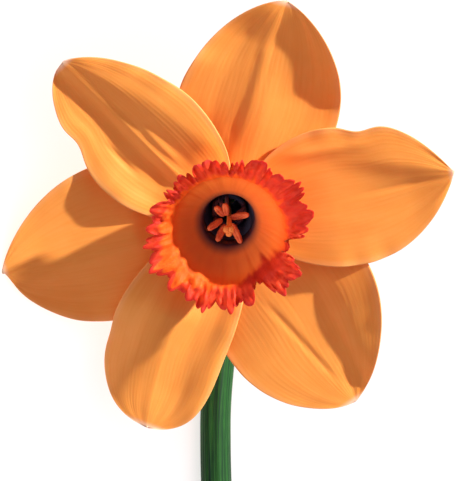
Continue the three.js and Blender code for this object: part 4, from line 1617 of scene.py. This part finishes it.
# ---- Neck, stem and bract ----
@dataclass
class Stalk:
    """The bent neck, the cut stem and the papery bract.

    cut_rings holds the rings of the cut end, as the part of the stem's width and the depth of each.
    The bract's two pairs of angles, its middle and its half width, are at its foot and at its tip.
    Each grid is how many points run round or across a piece and how many rows along it.
    """

    place: HeadPlace
    finishes: Finishes
    repeats: Repeats
    ovary_foot: float = -29.0
    gap: float = 0.3
    neck_radius: float = 2.3
    neck_swell: float = 0.35
    neck_straight: float = 6.0
    neck_grid: tuple[int, int] = (40, 56)
    neck_bends: int = 44
    stem_length: float = 152.0
    stem_half_width: float = 3.7
    stem_half_height: float = 3.0
    stem_keel: float = 0.4
    stem_keel_deg: float = 108.0
    stem_arch: float = 0.8
    stem_bow: float = 3.0
    stem_sideways: float = 4.4
    stem_swing_length: float = 42.0
    stem_grid: tuple[int, int] = (96, 190)
    solid_sides: int = 20
    cut_rings: tuple[tuple[float, float], ...] = (
        (0.93, 0.0), (0.84, 0.0), (0.66, 0.1), (0.58, 1.4), (0.4, 1.7), (0.15, 1.8))
    bract_length: float = 36.0
    bract_thickness: float = 0.35
    bract_solid: float = 0.7
    bract_start: float = 3.0
    bract_reach: float = 8.0
    bract_middle_deg: tuple[float, float] = (38, 48)
    bract_half_deg: tuple[float, float] = (62, 9)
    bract_grid: tuple[int, int] = (60, 90)
    bract_veins: int = 13
    bract_vein_radius: float = 0.1

    def __post_init__(self) -> None:
        """Works out the neck's bend, as the solids do."""
        _, corners, _ = round_grid(self.solid_sides, 1)
        self.stem_height = -float(self.section(corners)[1].min())
        self.back = -self.place.axis
        self.start = self.place.in_part(np.array([0, 0, self.ovary_foot - self.gap]))
        self.way = np.array([1.0, 0.0, 0.0])
        self.bend = math.acos(float(self.back @ self.way))
        inward = self.way - self.back * math.cos(self.bend)
        self.inward = inward / math.sin(self.bend)
        drop = self.start[2] - self.stem_height
        self.bend_radius = drop / (-self.back[2] * math.tan(self.bend / 2))
        self.neck_end = self.bent(np.array([self.bend]))[0] + self.way * self.neck_straight
        self.stem_top = self.neck_end + self.way * self.gap

    def section(self, turn: Array) -> tuple[Array, Array]:
        """The stem's section.

        Args:
            turn: Angles round it, in radians.

        Returns:
            How far sideways and how far up it reaches at each angle.
        """
        degrees = np.degrees(turn)
        away = np.minimum(*[np.abs((degrees - at + 540) % 360 - 180)
                            for at in (self.stem_keel_deg, self.stem_keel_deg + 180)])
        keel = 1 + self.stem_keel / self.stem_half_height * bell(away / 16)
        return self.stem_half_width * keel * np.cos(turn), self.stem_half_height * keel * np.sin(turn)

    def bent(self, angle: Array) -> Array:
        """Points along the neck's bend."""
        return (self.start + self.back * (self.bend_radius * np.sin(angle))[:, None]
                + self.inward * (self.bend_radius * (1 - np.cos(angle)))[:, None])

    def build_neck(self) -> None:
        """Builds the bent neck, or pedicel."""
        _, turn, part = round_grid(*self.neck_grid)
        bends, straight = self.neck_bends, len(part) - self.neck_bends
        angle = np.concatenate([np.linspace(0, self.bend, bends), np.full(straight, self.bend)])
        past = np.concatenate([np.zeros(bends), np.linspace(0, self.neck_straight, straight + 1)[1:]])
        path = self.bent(angle) + past[:, None] * self.way
        way = np.cos(angle)[:, None] * self.back + np.sin(angle)[:, None] * self.inward
        hinge = unit(np.cross(self.back, self.way))
        radius = self.neck_radius + self.neck_swell * smooth(0.5, 1, part)
        spread = radius * (1 + 0.03 * np.cos(6 * turn) + 0.012 * np.cos(17 * turn))
        across = spread * np.cos(turn), spread * np.sin(turn)
        rings = round_the_path(path, across, hinge, np.cross(hinge, way))
        piece = swept(rings, 0.35, {"cut": np.zeros(len(rings))}).to_object("neck")
        wear(piece, self.finishes.leaf)
        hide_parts("pedicel")

    def stem_centre(self, part: Array) -> Array:
        """The stem's middle line.

        Args:
            part: Places along the stem, from 0 to 1.

        Returns:
            The middle of the stem at each place.
        """
        along = part * self.stem_length
        bow = self.stem_bow * np.sin(math.pi * smooth(0.3, 1, part))
        swing = self.stem_sideways * smooth(0, self.stem_swing_length, along) - bow
        return grid(self.stem_top[0] + along, self.stem_top[1] - swing,
                    self.stem_height + self.stem_arch * np.sin(math.pi * part))

    def build_stem(self) -> None:
        """Builds the two-edged stem, finely ribbed, with a hollowed cut end."""
        _, turn, part = round_grid(*self.stem_grid)
        sideways, up = self.section(turn)
        fine = 1 + 0.010 * np.cos(22 * turn) + 0.006 * waves(turn * 2, part * 3, 51)
        centre = self.stem_centre(part[:, 0])
        rings = centre[:, None, :] + grid(0.0, sideways * fine, up * fine)
        caps = []
        for width, depth in self.cut_rings:
            ring = lerp(centre[-1], rings[-1], width)
            if depth > 0:
                ring[:, 0] -= depth + 0.08 * np.sin(5 * turn)
            caps.append(ring)
        cut = np.concatenate([np.zeros(len(rings)), np.ones(len(caps))])
        piece = swept(np.concatenate([rings, np.stack(caps)]), 1.0, {"cut": cut}).to_object("stem_stalk")
        wear(piece, self.finishes.leaf)
        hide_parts("stem")

    def bract_surface(self, s: Array, around: Array, depth: float) -> Array:
        """The bract's form.

        Args:
            s: Places along it, from its foot, 0, to its tip, 1.
            around: Places across it, from 0 to 1.
            depth: How far the points lie over its inner face.

        Returns:
            The points, in the frame of the part.
        """
        half = lerp(*self.bract_half_deg, smooth(0.05, 1, s))
        turn = np.radians(lerp(*self.bract_middle_deg, s) + (2 * around - 1) * half)
        snug = self.stem_half_width + self.stem_keel + self.gap
        wave = 0.5 * np.sin(9 * s) * np.sin(5 * around)
        crinkle = 0.14 * waves(around * 5, s * 6, 8) * smooth(0.05, 0.3, s)
        reach = lerp(snug, self.bract_reach, smooth(0, 0.6, s)) + depth + wave + crinkle
        start = self.stem_top + self.way * self.bract_start
        return grid(start[0] - s * self.bract_length, start[1] + reach * np.cos(turn),
                    start[2] + reach * np.sin(turn))

    def build_bract(self) -> None:
        """Builds the papery bract and its veins."""
        across, along = (np.linspace(0, 1, count) for count in self.bract_grid)
        s, around = np.meshgrid(along, across, indexing="ij")
        front = self.bract_surface(s, around, self.bract_solid)
        back = self.bract_surface(s, around, self.bract_solid - self.bract_thickness)
        piece = thin_sheet(front, back, grid(around, s), closed=False).to_object("papery_bract")
        wear(piece, self.finishes.paper)
        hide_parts("spathe")
        path = np.linspace(0.02, 0.985, 60)
        threads = loose_lines("bract_vein_lines", [
            self.bract_surface(path, np.full_like(path, at), self.bract_solid)
            for at in np.linspace(0.06, 0.94, self.bract_veins)])
        veins = self.repeats.grow("bract_veins", threads, self.repeats.tubes,
                                  Radius=self.bract_vein_radius * MM, Sides=8, Finish=self.finishes.paper)
        wear(veins, self.finishes.paper)


# ---- Camera, light and floor ----
@dataclass(frozen=True)
class Sun:
    """A sun lamp: where it stands in the head's frame, its strength, its width and its colour."""

    way: tuple[float, float, float]
    strength: float
    width_deg: float
    colour: Colour


@dataclass
class Studio:
    """The stage: a pale floor, the lamps, an even sky and the camera."""

    place: HeadPlace
    camera_distance: float = 600.0
    scale_px_per_mm: float = 4.63
    image: tuple[int, int] = (457, 481)
    throat_px: tuple[float, float] = (229.0, 219.0)
    sensor: float = 36.0
    near_and_far: tuple[float, float] = (0.01, 20.0)
    key: Sun = Sun((0.808, 0.525, 0.267), 7.0, 2.0, (1.0, 0.97, 0.93))
    cup_lamp: Sun = Sun((-0.62, -0.40, 0.67), 2.4, 30.0, (1.0, 0.9, 0.8))
    cup_pieces: tuple[str, ...] = (
        "frilled_cup", "flower_tube", "anthers", "filaments", "style_and_stigma", "stigma_down", "pollen")
    overhead_power: float = 19.0
    overhead_size: float = 1.6
    overhead_distance: float = 1.2
    sky: float = 0.38
    sky_colour: Colour = (1.0, 0.88, 0.95)
    sky_seen: Colour = (1.0, 1.0, 1.0)
    floor_size: float = 4000.0
    floor_drop: float = 0.02
    floor_tone: float = 0.93
    floor_roughness: float = 0.9
    floor_specular: float = 0.1

    def build_camera(self) -> None:
        """Looks down on the flower as the photograph does."""
        right = self.place.turn[:, 0]
        up = np.array([-1.0, 0.0, 0.0])
        back = np.cross(right, up)
        aside = (self.image[0] / 2 - self.throat_px[0]) / self.scale_px_per_mm
        down = (self.image[1] / 2 - self.throat_px[1]) / self.scale_px_per_mm
        place = self.place.throat + right * aside - up * down + back * self.camera_distance
        data = bpy.data.cameras.new("camera")
        data.sensor_width = self.sensor
        data.lens = self.scale_px_per_mm * self.camera_distance / max(self.image) * self.sensor
        data.clip_start, data.clip_end = self.near_and_far
        camera = new_object("camera", data)
        camera.matrix_world = Matrix.Translation(Vector(place * MM)) @ Matrix(
            np.stack([right, up, back], axis=1).tolist()).to_4x4()
        bpy.context.scene.camera = camera

    def _lamp(self, name: str, kind: str, way: Vector, distance: float,
              pieces: Sequence[bpy.types.Object]) -> bpy.types.Object:
        """A lamp that shines on the throat, and lights only some pieces.

        Args:
            name: The lamp's name.
            kind: Its type.
            way: Where it stands, seen from the throat.
            distance: How far off it stands, in metres.
            pieces: What it lights, or leaves out once it is told to.

        Returns:
            The lamp.
        """
        lamp = new_object(name, bpy.data.lights.new(name, kind))
        lamp.rotation_mode = "QUATERNION"
        lamp.rotation_quaternion = way.to_track_quat("Z", "Y")
        lamp.location = Vector(self.place.throat * MM) + way * distance
        lit = bpy.data.collections.new(f"{name}_lights")
        for piece in pieces:
            lit.objects.link(piece)
        lamp.light_linking.receiver_collection = lit
        return lamp

    def _sun(self, name: str, sun: Sun, pieces: Sequence[bpy.types.Object]) -> bpy.types.Object:
        """A sun lamp.

        Args:
            name: The lamp's name.
            sun: Its settings.
            pieces: What it lights, or leaves out once it is told to.

        Returns:
            The lamp.
        """
        lamp = self._lamp(name, "SUN", self.place.way_in_part(sun.way), 1.0, pieces)
        lamp.data.energy = sun.strength
        lamp.data.angle = math.radians(sun.width_deg)
        lamp.data.color = sun.colour
        return lamp

    def build_light(self, floor: bpy.types.Object) -> None:
        """Sets a key from the side, one lamp over the floor, one into the cup, and an even sky.

        Args:
            floor: The floor. The key leaves it out, and the overhead lamp lights nothing else.
        """
        key = self._sun("key", self.key, [floor])
        key.light_linking.receiver_collection.collection_objects[0].light_linking.link_state = "EXCLUDE"
        overhead = self._lamp("overhead", "AREA", Vector((0, 0, 1)), self.overhead_distance, [floor])
        overhead.data.size = self.overhead_size
        overhead.data.energy = self.overhead_power
        overhead.light_linking.blocker_collection = overhead.light_linking.receiver_collection
        self._sun("cup_lamp", self.cup_lamp, [bpy.data.objects[name] for name in self.cup_pieces])
        world = bpy.data.worlds.new("sky")
        world.use_nodes = True
        nodes = Nodes(world.node_tree)
        background = world.node_tree.nodes["Background"]
        seen = nodes.add("ShaderNodeLightPath").outputs["Is Camera Ray"]
        nodes.feed(background.inputs["Color"], nodes.mix(seen, self.sky_colour, self.sky_seen))
        nodes.feed(background.inputs["Strength"], nodes.math("MULTIPLY_ADD", seen, 1 - self.sky, self.sky))
        bpy.context.scene.world = world

    def build_floor(self) -> bpy.types.Object:
        """Builds the plain pale floor.

        Returns:
            The floor.
        """
        half, low = self.floor_size / 2 * MM, -self.floor_drop * MM
        mesh = bpy.data.meshes.new("floor")
        mesh.from_pydata([(-half, -half, low), (half, -half, low), (half, half, low), (-half, half, low)],
                         [], [(0, 1, 2, 3)])
        floor = new_object("floor", mesh)
        material = bpy.data.materials.new("pale_floor")
        material.use_nodes = True
        shader = material.node_tree.nodes["Principled BSDF"]
        shader.inputs["Base Color"].default_value = (*[self.floor_tone] * 3, 1.0)
        shader.inputs["Roughness"].default_value = self.floor_roughness
        shader.inputs["Specular IOR Level"].default_value = self.floor_specular
        mesh.materials.append(material)
        return floor

    def set_view(self) -> None:
        """Shows colours as they are, with no film look."""
        settings = bpy.context.scene.view_settings
        settings.view_transform = "Standard"
        settings.look = "None"


def main() -> None:
    """Builds the flower and its stage."""
    logging.basicConfig(level=logging.INFO, format="%(name)s: %(message)s")
    place = HeadPlace()
    studio = Studio(place)
    studio.build_camera()
    finishes = Finishes(Palette())
    repeats = Repeats()
    perianth = Perianth(place, finishes)
    for segment in SEGMENTS:
        perianth.build(segment)
    Cup(place, finishes).build()
    throat = Throat(place, finishes, repeats)
    throat.build_tube()
    throat.build_stamens()
    throat.build_style()
    throat.build_ovary()
    stalk = Stalk(place, finishes, repeats)
    stalk.build_neck()
    stalk.build_stem()
    stalk.build_bract()
    studio.build_light(studio.build_floor())
    studio.set_view()


if __name__ == "__main__":
    main()
